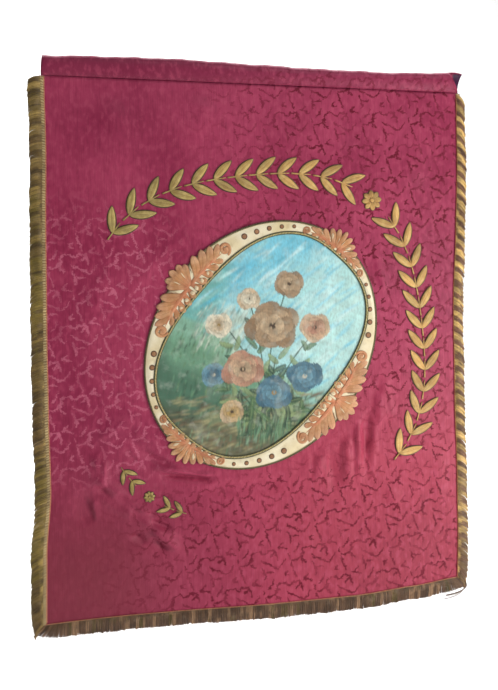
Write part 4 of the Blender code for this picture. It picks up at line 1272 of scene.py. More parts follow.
def heading_bm(side):
    """The braid: a ribbed strip from the cloth's edge to where the threads leave it, its ribs painted light
    on the crowns and dark in the grooves, as painted highlight and shade.
    """
    bm = bmesh.new()
    braid = side.braid
    bmesh.ops.create_grid(bm, x_segments=int(side.length / braid.cell), y_segments=5, size=0.5)
    layer = bm.verts.layers.float_color.new("dye")
    made = bmesh.ops.extrude_face_region(bm, geom=bm.faces[:], use_keep_orig=True)["geom"]
    front = {item for item in made if isinstance(item, bmesh.types.BMVert)}
    for vertex in bm.verts:
        share, across = vertex.co.x + 0.5, vertex.co.y + 0.5
        x, drop = side.line(share, -braid.inside + (braid.outside + braid.inside) * across)
        lift = 0.5 * CLOTH + BRAID_GAP
        place = share * side.length
        wound = place + 0.0030 * across + 0.0006 * math.sin(300.0 * place)
        rib = 0.5 + 0.5 * math.cos(2.0 * math.pi * wound / BRAID_RIB)
        if vertex in front:
            crown = 1.0 - abs(2.0 * across - 1.0) ** 3
            lift += braid.thick * (0.45 + 0.25 * crown + 0.30 * rib * crown)
        # painted highlight on the rib crowns, painted shade between them
        tone = mix(BRAID_GROOVE_SHADE, BRAID_RIB_HIGHLIGHT, 0.05 + 0.95 * rib * (0.8 + 0.2 * uneven(2.0 * place, 5.0)))
        vertex[layer] = (*(tone * (0.85 + 0.15 * uneven(0.5 * place, 1.0))), 1.0)
        vertex.co = (x, hang(x, drop, ()) - lift, SEAM_Z - drop)
    face_front(bm)
    return bm


# %% Make the three fringes
for side in SIDES:
    lines, colours = comb_side(side)
    strands = curve_mesh(f"strands_{side.name}", lines, THREAD_RADIUS, radii=(1.0, 1.15, 1.2, 1.2, 0.8))
    give_colours(strands, "dye", colours, len(lines))
    bm = heading_bm(side)
    bm.from_mesh(strands)
    bpy.data.meshes.remove(strands)
    name = f"silk_fringe_{side.name}"
    piece = add_piece(name, mesh_from(bm, name), FRINGE_SILK, "fringe", side.node)
    print(piece.name, "threads", len(lines), "triangles", triangles(piece.data))

# %% [markdown]
# A thin cord of two plies covers the braid's inner edge. A few threads have come loose at the lower right
# corner, where the fringe is most handled; they curl away from it together.

# %% Edge cord of the braid
EDGE_DYES = {
    "left": (dye(222, 146, 104), dye(188, 112, 74)),
    "right": (dye(206, 118, 60), dye(150, 66, 36)),
    "foot": (dye(214, 142, 104), dye(176, 104, 66)),
}
EDGE_PLY = {"left": 0.00075, "right": 0.00055, "foot": 0.00055}
EDGE_POINTS = 281
PLY_FULLNESS = 1.15
corded = []
for side in SIDES:
    path = []
    for i in range(EDGE_POINTS):
        x, drop = side.line(i / (EDGE_POINTS - 1), -side.braid.inside)
        path.append((x, hang(x, drop, ()) - 0.5 * CLOTH - 0.0010, SEAM_Z - drop))
    ply = EDGE_PLY[side.name]
    for line, colour in zip(wound_plies(path, ply, 0.0060, 2, steps=4), EDGE_DYES[side.name]):
        mesh = curve_mesh("braid_line", [line], ply * PLY_FULLNESS)
        give_colours(mesh, "dye", [colour], 1)
        corded.append(mesh)
print("edge cords", len(corded))

# %% Loose threads at the lower right corner
LOOSE = 11
LOOSE_POINTS = 11
LOOSE_RADIUS = 0.00045
loose_lines = []
for i in range(LOOSE):
    spread = i / (LOOSE - 1)
    reach = 0.050 + 0.010 * chance.random()
    line = []
    for step in range(LOOSE_POINTS):
        t = step / (LOOSE_POINTS - 1)
        px = CORNER_RIGHT + 0.020 - 0.006 * spread + 0.008 * math.sin(2.6 * t) - reach * t**2.2
        pz = -FOOT_RIGHT - 0.010 - (0.024 + 0.010 * spread) * math.sin(1.5 * t)
        pz -= 0.003 * t * math.cos(7.0 * i)
        line.append((px, hang(px, -pz, ()) - 0.0042 + 0.0012 * spread - 0.003 * t, SEAM_Z + pz))
    loose_lines.append(line)
loose = curve_mesh("loose_threads", loose_lines, LOOSE_RADIUS)
loose_dyes = [UMBER_THREAD * (0.6 + 0.6 * chance.random()) for _ in range(LOOSE)]
give_colours(loose, "dye", loose_dyes, LOOSE)
bm = bmesh.new()
for mesh in [*corded, loose]:
    bm.from_mesh(mesh)
    bpy.data.meshes.remove(mesh)
edging = add_piece("braid_edging", mesh_from(bm, "braid_edging"), CORD, "fringe")
print("edging triangles", triangles(edging.data))

# %% [markdown]
# ## The painted oval
# The medallion's middle is silk painted in thin oil colours. Its design here is a spray of flowers under an
# open sky, in the same blues, greens and earth colours. A fine grid carries the painting as a colour
# attribute: each petal or leaf is a soft shape that is laid over the colours under it, in a painter's order.

# %% A fine grid for the painting
PAINT_PITCH = 0.0020
PAINT_FRONT = 0.0022
PAINT_BORDER = 0.006
PAINT_UNDERLAP = 0.0035


def frame_point(angle, out):
    """A point at an angle round the frame, this far out of its edge, as (x, drop)."""
    u, v = (FRAME_HALF_LONG + out) * math.cos(angle), (FRAME_HALF_SHORT + out) * math.sin(angle)
    x, up = turned(u, v, FRAME_TILT)
    return MEDALLION_X + x, MEDALLION_DROP - up


def picture_point(angle, out):
    """The point of the picture's edge that faces an angle round the frame, as (x, drop)."""
    target = angle + FRAME_TILT - PICTURE_TILT
    cosine, sine = math.cos(target), math.sin(target)
    scale = (abs(cosine) ** PICTURE_POWER + abs(sine) ** PICTURE_POWER) ** (-1.0 / PICTURE_POWER)
    u = (PICTURE_HALF_LONG + out) * scale * cosine
    v = (PICTURE_HALF_SHORT + out) * scale * sine
    x, up = turned(u, v, PICTURE_TILT)
    return MEDALLION_X + x, MEDALLION_DROP - up


def picture_share(u, v, grow):
    """Below 1 inside the picture's edge grown by this much, in the picture's own axes."""
    long_share = abs(u / (PICTURE_HALF_LONG + grow)) ** PICTURE_POWER
    return long_share + abs(v / (PICTURE_HALF_SHORT + grow)) ** PICTURE_POWER


bm = bmesh.new()
grid_long = 2.0 * (PICTURE_HALF_LONG + PAINT_BORDER)
grid_short = 2.0 * (PICTURE_HALF_SHORT + PAINT_BORDER)
columns, rows = int(grid_long / PAINT_PITCH), int(grid_short / PAINT_PITCH)
bmesh.ops.create_grid(bm, x_segments=columns, y_segments=rows, size=0.5)
for vertex in bm.verts:
    vertex.co.x *= grid_long
    vertex.co.y *= grid_short
outside = [vertex for vertex in bm.verts if picture_share(vertex.co.x, vertex.co.y, PAINT_UNDERLAP) > 1.0]
bmesh.ops.delete(bm, geom=outside, context="VERTS")
for vertex in bm.verts:
    x, up = turned(vertex.co.x, vertex.co.y, PICTURE_TILT)
    swell = 0.0004 * math.sin(29.0 * x + 5.0 * up) * math.sin(21.0 * up - 9.0 * x)
    vertex.co = (MEDALLION_X + x, swell - PAINT_FRONT, SEAM_Z - MEDALLION_DROP + up)
bmesh.ops.recalc_face_normals(bm, faces=bm.faces[:])
if bm.faces[:][0].normal.y > 0.0:
    bmesh.ops.reverse_faces(bm, faces=bm.faces[:])
painting_mesh = mesh_from(bm, "painting")
print("painting points", len(painting_mesh.vertices))

# %% Sky, hill and ground colours
points = np.zeros(len(painting_mesh.vertices) * 3)
painting_mesh.vertices.foreach_get("co", points)
points = points.reshape(-1, 3)
PX = (points[:, 0] - MEDALLION_X) * 1000.0
PZ = (points[:, 2] - SEAM_Z + MEDALLION_DROP) * 1000.0


def soft(values, low, high):
    """0 to 1 with a soft start and end, for a whole field of values."""
    share = np.clip((values - low) / (high - low), 0.0, 1.0)
    return share * share * (3.0 - 2.0 * share)


def cloud(x, z, seed):
    """A smooth uneven field between about -1 and 1."""
    total = np.zeros_like(x)
    for octave in range(4):
        k = 0.011 * 2.0**octave
        a, b = seed + 1.7 * octave, 2.0 * seed - 0.9 * octave
        total += np.sin(k * (x * 1.1 + 0.6 * z) + a) * np.sin(k * (z - 0.5 * x) + b) / 1.6**octave
    return total / 1.7


def lay(canvas, colour, share):
    """Paints a colour over the canvas with the given cover."""
    share = np.clip(share, 0.0, 1.0)[:, None]
    return canvas * (1.0 - share) + np.asarray(colour)[None, :] * share


canvas = np.tile(np.array(dye(170, 220, 220)), (len(PX), 1))
DEEP_SKY = -0.5 * PX + PZ + 14 * cloud(PX, PZ, 9.0)
PALE_SKY = PX * 0.9 - np.abs(PZ + 10) * 0.4 + 24 * cloud(PX, PZ, 1.0)
TEAL_SIDE = -PX * 0.8 + PZ * 0.25 + 20 * cloud(PX, PZ, 2.0)
MIST = -np.hypot((PX + 74) / 1.5, PZ - 40) + 14 * cloud(PX, PZ, 6.0)
SUNLIT = -np.hypot((PX + 128) / 1.7, PZ + 2) + 9 * cloud(PX, PZ, 12.0)
canvas = lay(canvas, dye(96, 192, 218), 0.75 * soft(DEEP_SKY, 78, 180))
canvas = lay(canvas, dye(222, 246, 240), 0.90 * soft(PALE_SKY, 55, 125))
canvas = lay(canvas, dye(110, 176, 160), 0.80 * soft(TEAL_SIDE, 62, 128))
canvas = lay(canvas, dye(200, 212, 188), 0.70 * soft(MIST, -46, -12))
canvas = lay(canvas, dye(196, 204, 128), 0.65 * soft(SUNLIT, -34, -12))
HILL = -PZ - 0.55 * PX + 16 * cloud(PX * 1.4, PZ * 1.4, 3.0)
MEADOW = -PZ + 0.25 * PX + 24 * cloud(PX, PZ, 5.0)
EARTH_LOW = -PZ - 0.35 * PX + 26 * cloud(PX * 1.5, PZ * 1.5, 7.5)
WATER = PX - 0.5 * np.abs(PZ + 70) + 18 * cloud(PX, PZ, 8.0)
canvas = lay(canvas, dye(138, 184, 156), 0.9 * soft(HILL, 28, 48))
canvas = lay(canvas, dye(106, 152, 122), 0.9 * soft(HILL, 56, 92))
canvas = lay(canvas, dye(54, 94, 74), 0.75 * soft(HILL + 18 * cloud(PX * 2.2, PZ * 2.2, 4.0), 112, 176))
canvas = lay(canvas, dye(136, 138, 98), 0.75 * soft(MEADOW, 108, 160))
canvas = lay(canvas, dye(84, 70, 50), 0.60 * soft(EARTH_LOW, 175, 230))
canvas = lay(canvas, dye(150, 206, 200), 0.60 * soft(WATER, 48, 92))
print("ground laid", canvas.mean(axis=0).round(3))


# %% Dabs of the brush
def dabs(canvas, count, box, length, width, lean, colours, cover, within=None):
    """Scatters short brush strokes over a box (x low, x high, z low, z high), leaning by an angle."""
    for _ in range(count):
        x = box[0] + (box[1] - box[0]) * chance.random()
        z = box[2] + (box[3] - box[2]) * chance.random()
        if within is not None and not within(x, z):
            continue
        angle = math.radians(lean + 26.0 * (chance.random() - 0.5))
        colour = np.array(colours[int(chance.random() * len(colours))]) * (0.85 + 0.3 * chance.random())
        near = np.flatnonzero((np.abs(PX - x) < length) & (np.abs(PZ - z) < length))
        dx, dz = PX[near] - x, PZ[near] - z
        s = (dx * math.cos(angle) + dz * math.sin(angle)) / (0.5 * length * (0.6 + 0.8 * chance.random()))
        t = (dz * math.cos(angle) - dx * math.sin(angle)) / (0.5 * width)
        share = (cover * np.exp(-(s**4) - t * t))[:, None]
        canvas[near] = canvas[near] * (1.0 - share) + colour[None, :] * share
    return canvas


PICTURE_BOX = (-200.0, 200.0, -235.0, 235.0)
SKY_DABS = (dye(120, 206, 228), dye(214, 240, 236), dye(86, 186, 214), dye(176, 226, 222))
MIST_DABS = (dye(206, 214, 196), dye(140, 160, 150), dye(112, 150, 140), dye(222, 226, 206))
GRASS_DABS = (dye(44, 82, 60), dye(92, 140, 106), dye(30, 58, 46), dye(120, 164, 128), dye(96, 126, 84))
EARTH_DABS = (dye(150, 146, 104), dye(90, 74, 54), dye(176, 164, 120), dye(60, 66, 50), dye(126, 96, 70))
canvas = dabs(canvas, 420, PICTURE_BOX, 46, 7, 38, SKY_DABS, 0.45, lambda x, z: z + 0.55 * x > -20)
canvas = dabs(canvas, 170, (-150, -20, -10, 90), 20, 3.5, 60, MIST_DABS, 0.55)
canvas = dabs(canvas, 1100, PICTURE_BOX, 15, 3.6, 70, GRASS_DABS, 0.55, lambda x, z: z + 0.55 * x < -48)
canvas = dabs(canvas, 420, (-200, 200, -235, -110), 20, 5, 14, EARTH_DABS, 0.5)
print("dabs laid")


# %% Petals, leaves and stems
def along_line(x0, z0, x1, z1, bend):
    """Share along a bent line and distance to its left, for every point of the painting."""
    length = math.hypot(x1 - x0, z1 - z0)
    ux, uz = (x1 - x0) / length, (z1 - z0) / length
    s = ((PX - x0) * ux + (PZ - z0) * uz) / length
    return s, (PZ - z0) * ux - (PX - x0) * uz - bend * np.sin(np.pi * np.clip(s, 0.0, 1.0))


def blade(canvas, x0, z0, x1, z1, width, bend, colour, vein, cover=0.9, fullness=0.75):
    """One painted leaf or petal from a root to a tip, shaded across, with veins towards its tip."""
    s, t = along_line(x0, z0, x1, z1, bend)
    edge = 1.0 + 0.07 * np.sin(0.9 * PX + 0.7 * PZ) + 0.05 * np.sin(1.7 * PX - 1.1 * PZ)
    half = 0.5 * width * np.sqrt(np.maximum(np.sin(np.pi * np.clip(s, 0.0, 1.0) ** fullness), 0.0)) * edge
    inside = soft(half - np.abs(t), -0.8, 1.6) * (s > 0.0) * (s < 1.0)
    light = 0.55 + 0.50 * np.clip(s, 0.0, 1.0) - 0.22 * np.clip(t / np.maximum(half, 0.5), -1.0, 1.0)
    light += 0.09 * np.sin(2.4 * t + 2.0 * s) + 0.06 * cloud(PX * 5.0, PZ * 5.0, x1)
    share = (cover * inside)[:, None]
    canvas = canvas * (1.0 - share) + np.asarray(colour)[None, :] * light[:, None] * share
    rim = inside * soft(np.abs(t) - half, -2.4, -0.4)
    canvas = lay(canvas, np.asarray(colour) * 0.35, 0.45 * rim)
    return lay(canvas, vein, 0.45 * inside * soft(-np.abs(t), -1.3, -0.2) * (s < 0.8))


def blossom(canvas, x, z, size, petals, turn, outer, inner, heart):
    """A full round flower: three rows of broad petals about a dotted heart, seen a little from the side."""
    for ring in range(3):
        reach = size * (1.0, 0.72, 0.46)[ring]
        count = petals - ring
        for i in range(count):
            angle = turn + 2.0 * math.pi * (i + 0.5 * ring) / count + 0.16 * math.sin(3.1 * i + x)
            tip = reach * (1.0 + 0.10 * math.sin(2.3 * i + z))
            share = 0.15 + 0.32 * ring + 0.18 * math.sin(1.9 * i + x)
            colour = mix(np.array(outer), np.array(inner), min(max(share, 0.0), 1.0))
            tip_x, tip_z = x + tip * math.cos(angle), z + 0.86 * tip * math.sin(angle)
            width = 2.6 * reach * math.sin(math.pi / count)
            canvas = blade(canvas, x, z, tip_x, tip_z, width, 0.0, colour, colour * 0.55, 0.92, 1.7)
    radius = np.hypot(PX - x, (PZ - z) / 0.86)
    canvas = lay(canvas, np.array(heart) * 0.7, soft(-radius, -0.17 * size, -0.10 * size))
    speckle = np.sin(1.7 * (PX - x)) * np.sin(1.9 * (PZ - z))
    dotted = soft(-radius, -0.22 * size, -0.12 * size) * soft(speckle, 0.2, 0.6)
    return lay(canvas, np.array(inner), 0.8 * dotted)


def stem(canvas, x0, z0, x1, z1, bend, colour, width=2.6):
    """One painted stem along a bent line."""
    s, t = along_line(x0, z0, x1, z1, bend)
    inside = soft(-np.abs(t), -0.5 * width - 0.8, -0.5 * width + 0.5)
    return lay(canvas, colour, 0.85 * inside * (s > 0.0) * (s < 1.0))


print("brushes ready")

# %% The flower spray
Stalk = namedtuple("Stalk", "x0 z0 x1 z1 bend")
Bloom = namedtuple("Bloom", "x z size petals turn outer inner heart")
EARTH = dye(142, 112, 82)
SAND = dye(200, 174, 140)
ROSY = dye(178, 126, 104)
BLUE = dye(56, 98, 120)
PALE_BLUE = dye(108, 152, 168)
IVORY = dye(230, 224, 200)
UMBER = dye(84, 60, 44)
OCHRE = dye(184, 150, 82)
LEAF = dye(80, 118, 74)
DARK_LEAF = dye(38, 70, 52)
PALE_LEAF = dye(148, 170, 116)
STALKS = (
    Stalk(14, -196, 50, 118, 20), Stalk(6, -194, -84, 40, -22), Stalk(18, -196, 112, 20, 26),
    Stalk(10, -192, -30, 90, -8), Stalk(16, -196, 88, -84, 14), Stalk(2, -194, -104, -70, -16),
    Stalk(12, -196, 26, -30, 5), Stalk(-2, -194, -64, -142, -8), Stalk(20, -196, 92, -140, 8),
)
BLOOMS = (
    Bloom(-100, 44, 30, 8, 0.2, IVORY, SAND, OCHRE), Bloom(-34, 100, 26, 7, 0.5, SAND, IVORY, UMBER),
    Bloom(58, 132, 34, 8, 0.1, EARTH, SAND, UMBER), Bloom(116, 34, 36, 8, 0.7, SAND, ROSY, UMBER),
    Bloom(-112, -64, 28, 7, 0.4, PALE_BLUE, BLUE, IVORY), Bloom(20, 40, 60, 10, 0.3, EARTH, SAND, UMBER),
    Bloom(92, -74, 40, 9, 0.6, BLUE, PALE_BLUE, IVORY), Bloom(-48, -54, 46, 9, 0.2, ROSY, SAND, UMBER),
    Bloom(22, -108, 42, 9, 0.9, BLUE, PALE_BLUE, OCHRE), Bloom(-72, -146, 28, 7, 0.3, SAND, OCHRE, UMBER),
)
for row in STALKS:
    canvas = stem(canvas, *row, DARK_LEAF)
for i, row in enumerate(STALKS * 2):
    for k in range(5):
        share = 0.16 + 0.16 * k + 0.04 * math.sin(5.0 * i + k)
        sx = row.x0 + (row.x1 - row.x0) * share
        sz = row.z0 + (row.z1 - row.z0) * share
        aside = (0.8 if (k + i) % 2 else -0.8) * (1.0 + 0.3 * math.sin(i + 2.0 * k))
        lean = math.atan2(row.z1 - row.z0, row.x1 - row.x0) + aside
        reach = 42.0 - 3.0 * k + 6.0 * math.sin(3.0 * i + k)
        tone = (LEAF, DARK_LEAF, PALE_LEAF)[(i + k) % 3]
        tip = (sx + reach * math.cos(lean), sz + reach * math.sin(lean))
        canvas = blade(canvas, sx, sz, *tip, 13.0, 3.0 * math.sin(i), tone, PALE_LEAF, 0.8)
for row in BLOOMS:
    canvas = blossom(canvas, *row)
canvas = dabs(canvas, 260, (-60, 100, -215, -165), 22, 3.0, 80, GRASS_DABS, 0.6)
print("blooms", len(BLOOMS), "stalks", len(STALKS))

# %% Brush marks, wear, and the painting's piece
streaks = cloud(PX * 6.0 + PZ * 2.0, PZ * 6.0, 11.0) + 0.6 * cloud(PX * 13.0, PZ * 11.0, 4.0)
canvas = canvas * (1.0 + 0.11 * streaks)[:, None]
canvas = lay(canvas, dye(222, 226, 206), 0.16 * soft(cloud(PX * 2.2, PZ * 2.2, 15.0), 0.25, 0.9))
canvas = np.clip(canvas * 0.98, 0.0, 1.0)
layer = painting_mesh.attributes.new("paint", "FLOAT_COLOR", "POINT")
layer.data.foreach_set("color", np.column_stack([canvas, np.ones(len(canvas))]).ravel())


PAINT_SHADE = (0.10, 0.13, 0.09, 1.0)
PAINT_BLOOM = (0.72, 0.76, 0.66, 1.0)


def paint_finish():
    material, tree, shader = new_finish(
        "thin oil paint on silk", 0.55, Sheen_Weight=0.12, Specular_IOR_Level=0.4
    )
    place = object_place(tree)
    brushed = noise(tree, vector_calc(tree, "MULTIPLY", place, (240.0, 60.0, 110.0)), 1.0, 3.0)
    blotches = noise(tree, place, 45.0, 4.0)
    shade = ramp(tree, brushed, 0.35, 0.8, 0.0, 0.30)
    colour = blend_colours(tree, shade, attribute(tree, "paint"), PAINT_SHADE)
    colour = blend_colours(tree, ramp(tree, blotches, 0.5, 0.8, 0.0, 0.25), colour, PAINT_BLOOM)
    tree.links.new(colour, shader.inputs["Base Color"])
    tree.links.new(ramp(tree, blotches, 0.3, 0.7, 0.48, 0.64), shader.inputs["Roughness"])
    x, _, z = parts_of(tree, place)
    canvas_weave = calc(tree, "MULTIPLY", ridges(tree, x, 0.0009), ridges(tree, z, 0.0009))
    height = calc(tree, "ADD", calc(tree, "MULTIPLY", canvas_weave, 0.4), brushed)
    tree.links.new(relief(tree, height, 0.00022, 0.6), shader.inputs["Normal"])
    return material


painting = add_piece("flower_painting", painting_mesh, paint_finish(), "painted_satin", "painted_oval")
shell = painting.modifiers.new("silk thickness", "SOLIDIFY")
shell.thickness = SHEET
shell.offset = -1.0
print("painting triangles", triangles(bake_modifiers(painting)))

# %% [markdown]
# ## The ivory band
# Between the picture and the outer cord lies a band of ivory satin, slightly padded. A grid is wrapped round
# the oval, from the picture's edge to the frame's, and given a low crown. Its UV map runs along and across
# the band in metres, so the satin's threads can run across it everywhere.


# %% Wrap the band
BAND_FRONT = 0.0040
BAND_BACK = 0.0020
BAND_STEPS = 300
BAND_ROWS = 10
BAND_LENGTH = 1.66


bm = bmesh.new()
bmesh.ops.create_grid(bm, x_segments=BAND_STEPS, y_segments=BAND_ROWS, size=0.5)
made = bmesh.ops.extrude_face_region(bm, geom=bm.faces[:], use_keep_orig=True)["geom"]
front = {item for item in made if isinstance(item, bmesh.types.BMVert)}
uv_of = {}
for vertex in bm.verts:
    share, across = vertex.co.x + 0.5, vertex.co.y + 0.5
    angle = 2.0 * math.pi * share
    inner, outer = picture_point(angle, 0.002), frame_point(angle, 0.0)
    x = inner[0] + (outer[0] - inner[0]) * across
    drop = inner[1] + (outer[1] - inner[1]) * across
    lift = BAND_BACK
    if vertex in front:
        crown = 1.0 - abs(2.0 * across - 1.0) ** 2.2
        lift = BAND_FRONT - 0.0008 + 0.0013 * crown + 0.00025 * math.sin(60.0 * share + 9.0 * across)
    uv_of[vertex] = (share * BAND_LENGTH, across * math.hypot(outer[0] - inner[0], outer[1] - inner[1]))
    vertex.co = (x, -lift, SEAM_Z - drop)
layer = bm.loops.layers.uv.new("UVMap")
for face in bm.faces:
    for loop in face.loops:
        loop[layer].uv = uv_of[loop.vert]
bmesh.ops.remove_doubles(bm, verts=bm.verts[:], dist=1e-6)
face_front(bm)
band_mesh = mesh_from(bm, "ivory_band")
print("band triangles", triangles(band_mesh))


# %% Ivory satin
IVORY_FRESH = solid(dye(240, 230, 200))
IVORY_AGED = solid(dye(222, 204, 158))
IVORY_STAIN = solid(dye(186, 160, 112))
IVORY_GROOVE_SHADE = solid(dye(176, 158, 116))


def satin_finish():
    material, tree, shader = new_finish("ivory satin", 0.42, Sheen_Weight=0.2, Specular_IOR_Level=0.5)
    place = object_place(tree)
    x, _, _ = parts_of(tree, tree.nodes.new("ShaderNodeUVMap").outputs["UV"])
    fibre = ridges(tree, x, 0.0006)
    age = noise(tree, place, 14.0, 4.0)
    stains = noise(tree, place, 70.0, 3.0)
    colour = blend_colours(tree, ramp(tree, age, 0.35, 0.7), IVORY_FRESH, IVORY_AGED)
    colour = blend_colours(tree, ramp(tree, stains, 0.55, 0.8, 0.0, 0.4), colour, IVORY_STAIN)
    # painted shade in the grooves between the satin's fibres
    colour = blend_colours(tree, ramp(tree, fibre, 0.5, 0.0, 0.0, 0.25), colour, IVORY_GROOVE_SHADE)
    tree.links.new(colour, shader.inputs["Base Color"])
    tree.links.new(relief(tree, calc(tree, "ADD", fibre, stains), 0.00012, 0.6), shader.inputs["Normal"])
    return material


band = add_piece("ivory_band", band_mesh, satin_finish(), "cream_satin", "frame_band")


# %% [markdown]
# ## Cords of the medallion
# A pale gold cord between two dark green ones hides the picture's edge, and a dark brown cord couched along
# the outer edge finishes the frame.


# %% Lay the medallion's cords
def ring_points(point_of, out, lift, count=360):
    """A closed line round the oval, out from its edge and lifted off the cloth."""
    ring = []
    for i in range(count):
        x, drop = point_of(2.0 * math.pi * i / count, out)
        ring.append((x, -lift, SEAM_Z - drop))
    return ring


def corded_ring(name, rows, slot, node):
    """Joins several wound cords; a row gives the point function, out, lift, ply radius, pitch and dyes."""
    bm = bmesh.new()
    for point_of, out, lift, radius, pitch, dyes in rows:
        ring = ring_points(point_of, out, lift)
        plies = wound_plies(ring, radius, pitch, len(dyes), closed=True, steps=6)
        for line, colour in zip(plies, dyes):
            mesh = curve_mesh(name, [line], radius * PLY_FULLNESS, closed=True)
            give_colours(mesh, "dye", [colour], 1)
            bm.from_mesh(mesh)
            bpy.data.meshes.remove(mesh)
    piece = add_piece(name, mesh_from(bm, name), CORD, slot, node)
    print(name, "triangles", triangles(piece.data))


OLIVE = dye(92, 92, 48)
DEEP_GREEN = dye(48, 62, 40)
PALE_GOLD = dye(214, 202, 150)
BRIGHT_GOLD = dye(196, 176, 104)
corded_ring(
    "rim_of_cords",
    (
        (picture_point, -0.0021, 0.0038, 0.00075, 0.0058, (OLIVE, DEEP_GREEN)),
        (picture_point, 0.0000, 0.0045, 0.00105, 0.0072, (PALE_GOLD, BRIGHT_GOLD)),
        (picture_point, 0.0024, 0.0042, 0.00075, 0.0058, (DEEP_GREEN, OLIVE)),
    ),
    "braid", "rim_cord",
)
corded_ring(
    "outer_edge_cord",
    (
        (frame_point, 0.0010, 0.0030, 0.00075, 0.0066, (dye(104, 90, 52), dye(74, 62, 36))),
        (frame_point, -0.0012, 0.0041, 0.00050, 0.0058, (dye(170, 156, 104), dye(132, 118, 70))),
    ),
    "outline_cord", "edge_cord",
)

# %% [markdown]
# ## Padded leaves
# Satin-stitch leaves are worked over felt, so each is a low cushion with a groove along its vein. One
# builder makes every leaf: a grid is given a back by extruding it, bent along a spine, narrowed to a point
# at both ends and raised into its crown. The attribute called across runs from 0 on the vein to 1 at the
# edge, and lets the finish darken the outline, paint shade along the vein and slant the stitches.


# %% The leaf builder
def cloth_place(x, drop, lift):
    """The point this far in front of the smooth cloth."""
    return Vector((x, hang(x, drop, ()) - lift, SEAM_Z - drop))


def bezier(root, control, tip):
    """A spine through three (x, drop) points, as a function of the share along it."""
    def at(s):
        a, b, c = (1.0 - s) ** 2, 2.0 * s * (1.0 - s), s * s
        return a * root[0] + b * control[0] + c * tip[0], a * root[1] + b * control[1] + c * tip[1]
    return at


def across_spine(spine, s):
    """A point of the spine and its unit direction to the side, as (x, drop) pairs."""
    ahead, before = spine(min(s + 0.01, 1.0)), spine(max(s - 0.01, 0.0))
    dx, dd = ahead[0] - before[0], ahead[1] - before[1]
    size = math.hypot(dx, dd) or 1.0
    return spine(s), (-dd / size, dx / size)


def leaf_profile(s, fullness):
    """Half width of a leaf along its spine, 0 to 1; a large fullness puts its broadest place further out."""
    return max(math.sin(math.pi * min(s, 1.0) ** fullness), 0.0) ** 0.7


def tongue(s):
    """Half width of an acanthus lobe, 0 to 1: broad from its root on, and round at its tip."""
    past = max((s - 0.64) / 0.36, 0.0)
    return (0.60 + 0.40 * eased(s / 0.60)) * math.sqrt(max(1.0 - past * past, 0.0))


Tones = namedtuple("Tones", "root middle tip")


def tone_at(tones, s):
    """The dye at a share of a leaf's length."""
    if s < 0.5:
        return mix(tones.root, tones.middle, eased(2.0 * s))
    return mix(tones.middle, tones.tip, eased(2.0 * s - 1.0))


SPRIG_BACK = 0.0008


def on_cloth(x, drop):
    """Height of what lies under a leaf of the garland."""
    return SPRIG_BACK


def on_medallion(x, drop):
    """Height of what lies under a leaf of the frame: the band, and past the band's edge the cloth."""
    u, v = turned(x - MEDALLION_X, MEDALLION_DROP - drop, -FRAME_TILT)
    share = math.hypot(u / FRAME_HALF_LONG, v / FRAME_HALF_SHORT)
    past = (share - 1.0) * math.hypot(u, v) / max(share, 1e-6)
    return 0.0037 - 0.0026 * eased((past - 0.0035) / 0.010)


def lay_out_leaf(bm, columns, rows):
    """Makes the leaf's two layers of points and its data layers; returns the raised points."""
    bmesh.ops.create_grid(bm, x_segments=columns, y_segments=rows, size=0.5)
    layers = bm.verts.layers.float_color.new("dye"), bm.verts.layers.float.new("across")
    bm.loops.layers.uv.new("UVMap")
    made = bmesh.ops.extrude_face_region(bm, geom=bm.faces[:], use_keep_orig=True)["geom"]
    return {item for item in made if isinstance(item, bmesh.types.BMVert)}, layers


def write_uv(bm, uv_of):
    layer = bm.loops.layers.uv["UVMap"]
    for face in bm.faces:
        for loop in face.loops:
            loop[layer].uv = uv_of[loop.vert]


def make_leaf(
    spine, width, thick, colour, ground=on_cloth, fullness=0.8, groove=0.35, columns=12, rows=6, taper=None
):
    """A padded leaf as a bmesh with the layers dye, across and UVMap."""
    bm = bmesh.new()
    raised, (dyes, across) = lay_out_leaf(bm, columns, rows)
    uv_of = {}
    for vertex in bm.verts:
        s, t = vertex.co.x + 0.5, 2.0 * vertex.co.y
        here, aside = across_spine(spine, s)
        profile = taper(s) if taper else leaf_profile(s, fullness)
        half = 0.5 * width * max(profile, 0.05)
        x, drop = here[0] + aside[0] * half * t, here[1] + aside[1] * half * t
        lift = ground(x, drop)
        if vertex in raised:
            crown = math.sqrt(max(1.0 - 0.86 * t * t, 0.0)) * (0.4 + 0.6 * min(profile, 1.0))
            crown -= groove * 0.5 * math.exp(-((t / 0.16) ** 2)) * min(profile, 1.0)
            lift += thick * max(crown, 0.12)
        vertex[across] = abs(t)
        vertex[dyes] = (*(tone_at(colour, s) if isinstance(colour, Tones) else colour), 1.0)
        uv_of[vertex] = (s * 0.05, t * half)
        vertex.co = cloth_place(x, drop, lift)
    write_uv(bm, uv_of)
    face_front(bm)
    return bm


def gather(name, forms):
    """Joins finished forms into one mesh."""
    bm = bmesh.new()
    for form in forms:
        mesh = mesh_from(form, "form")
        bm.from_mesh(mesh)
        bpy.data.meshes.remove(mesh)
    return mesh_from(bm, name)


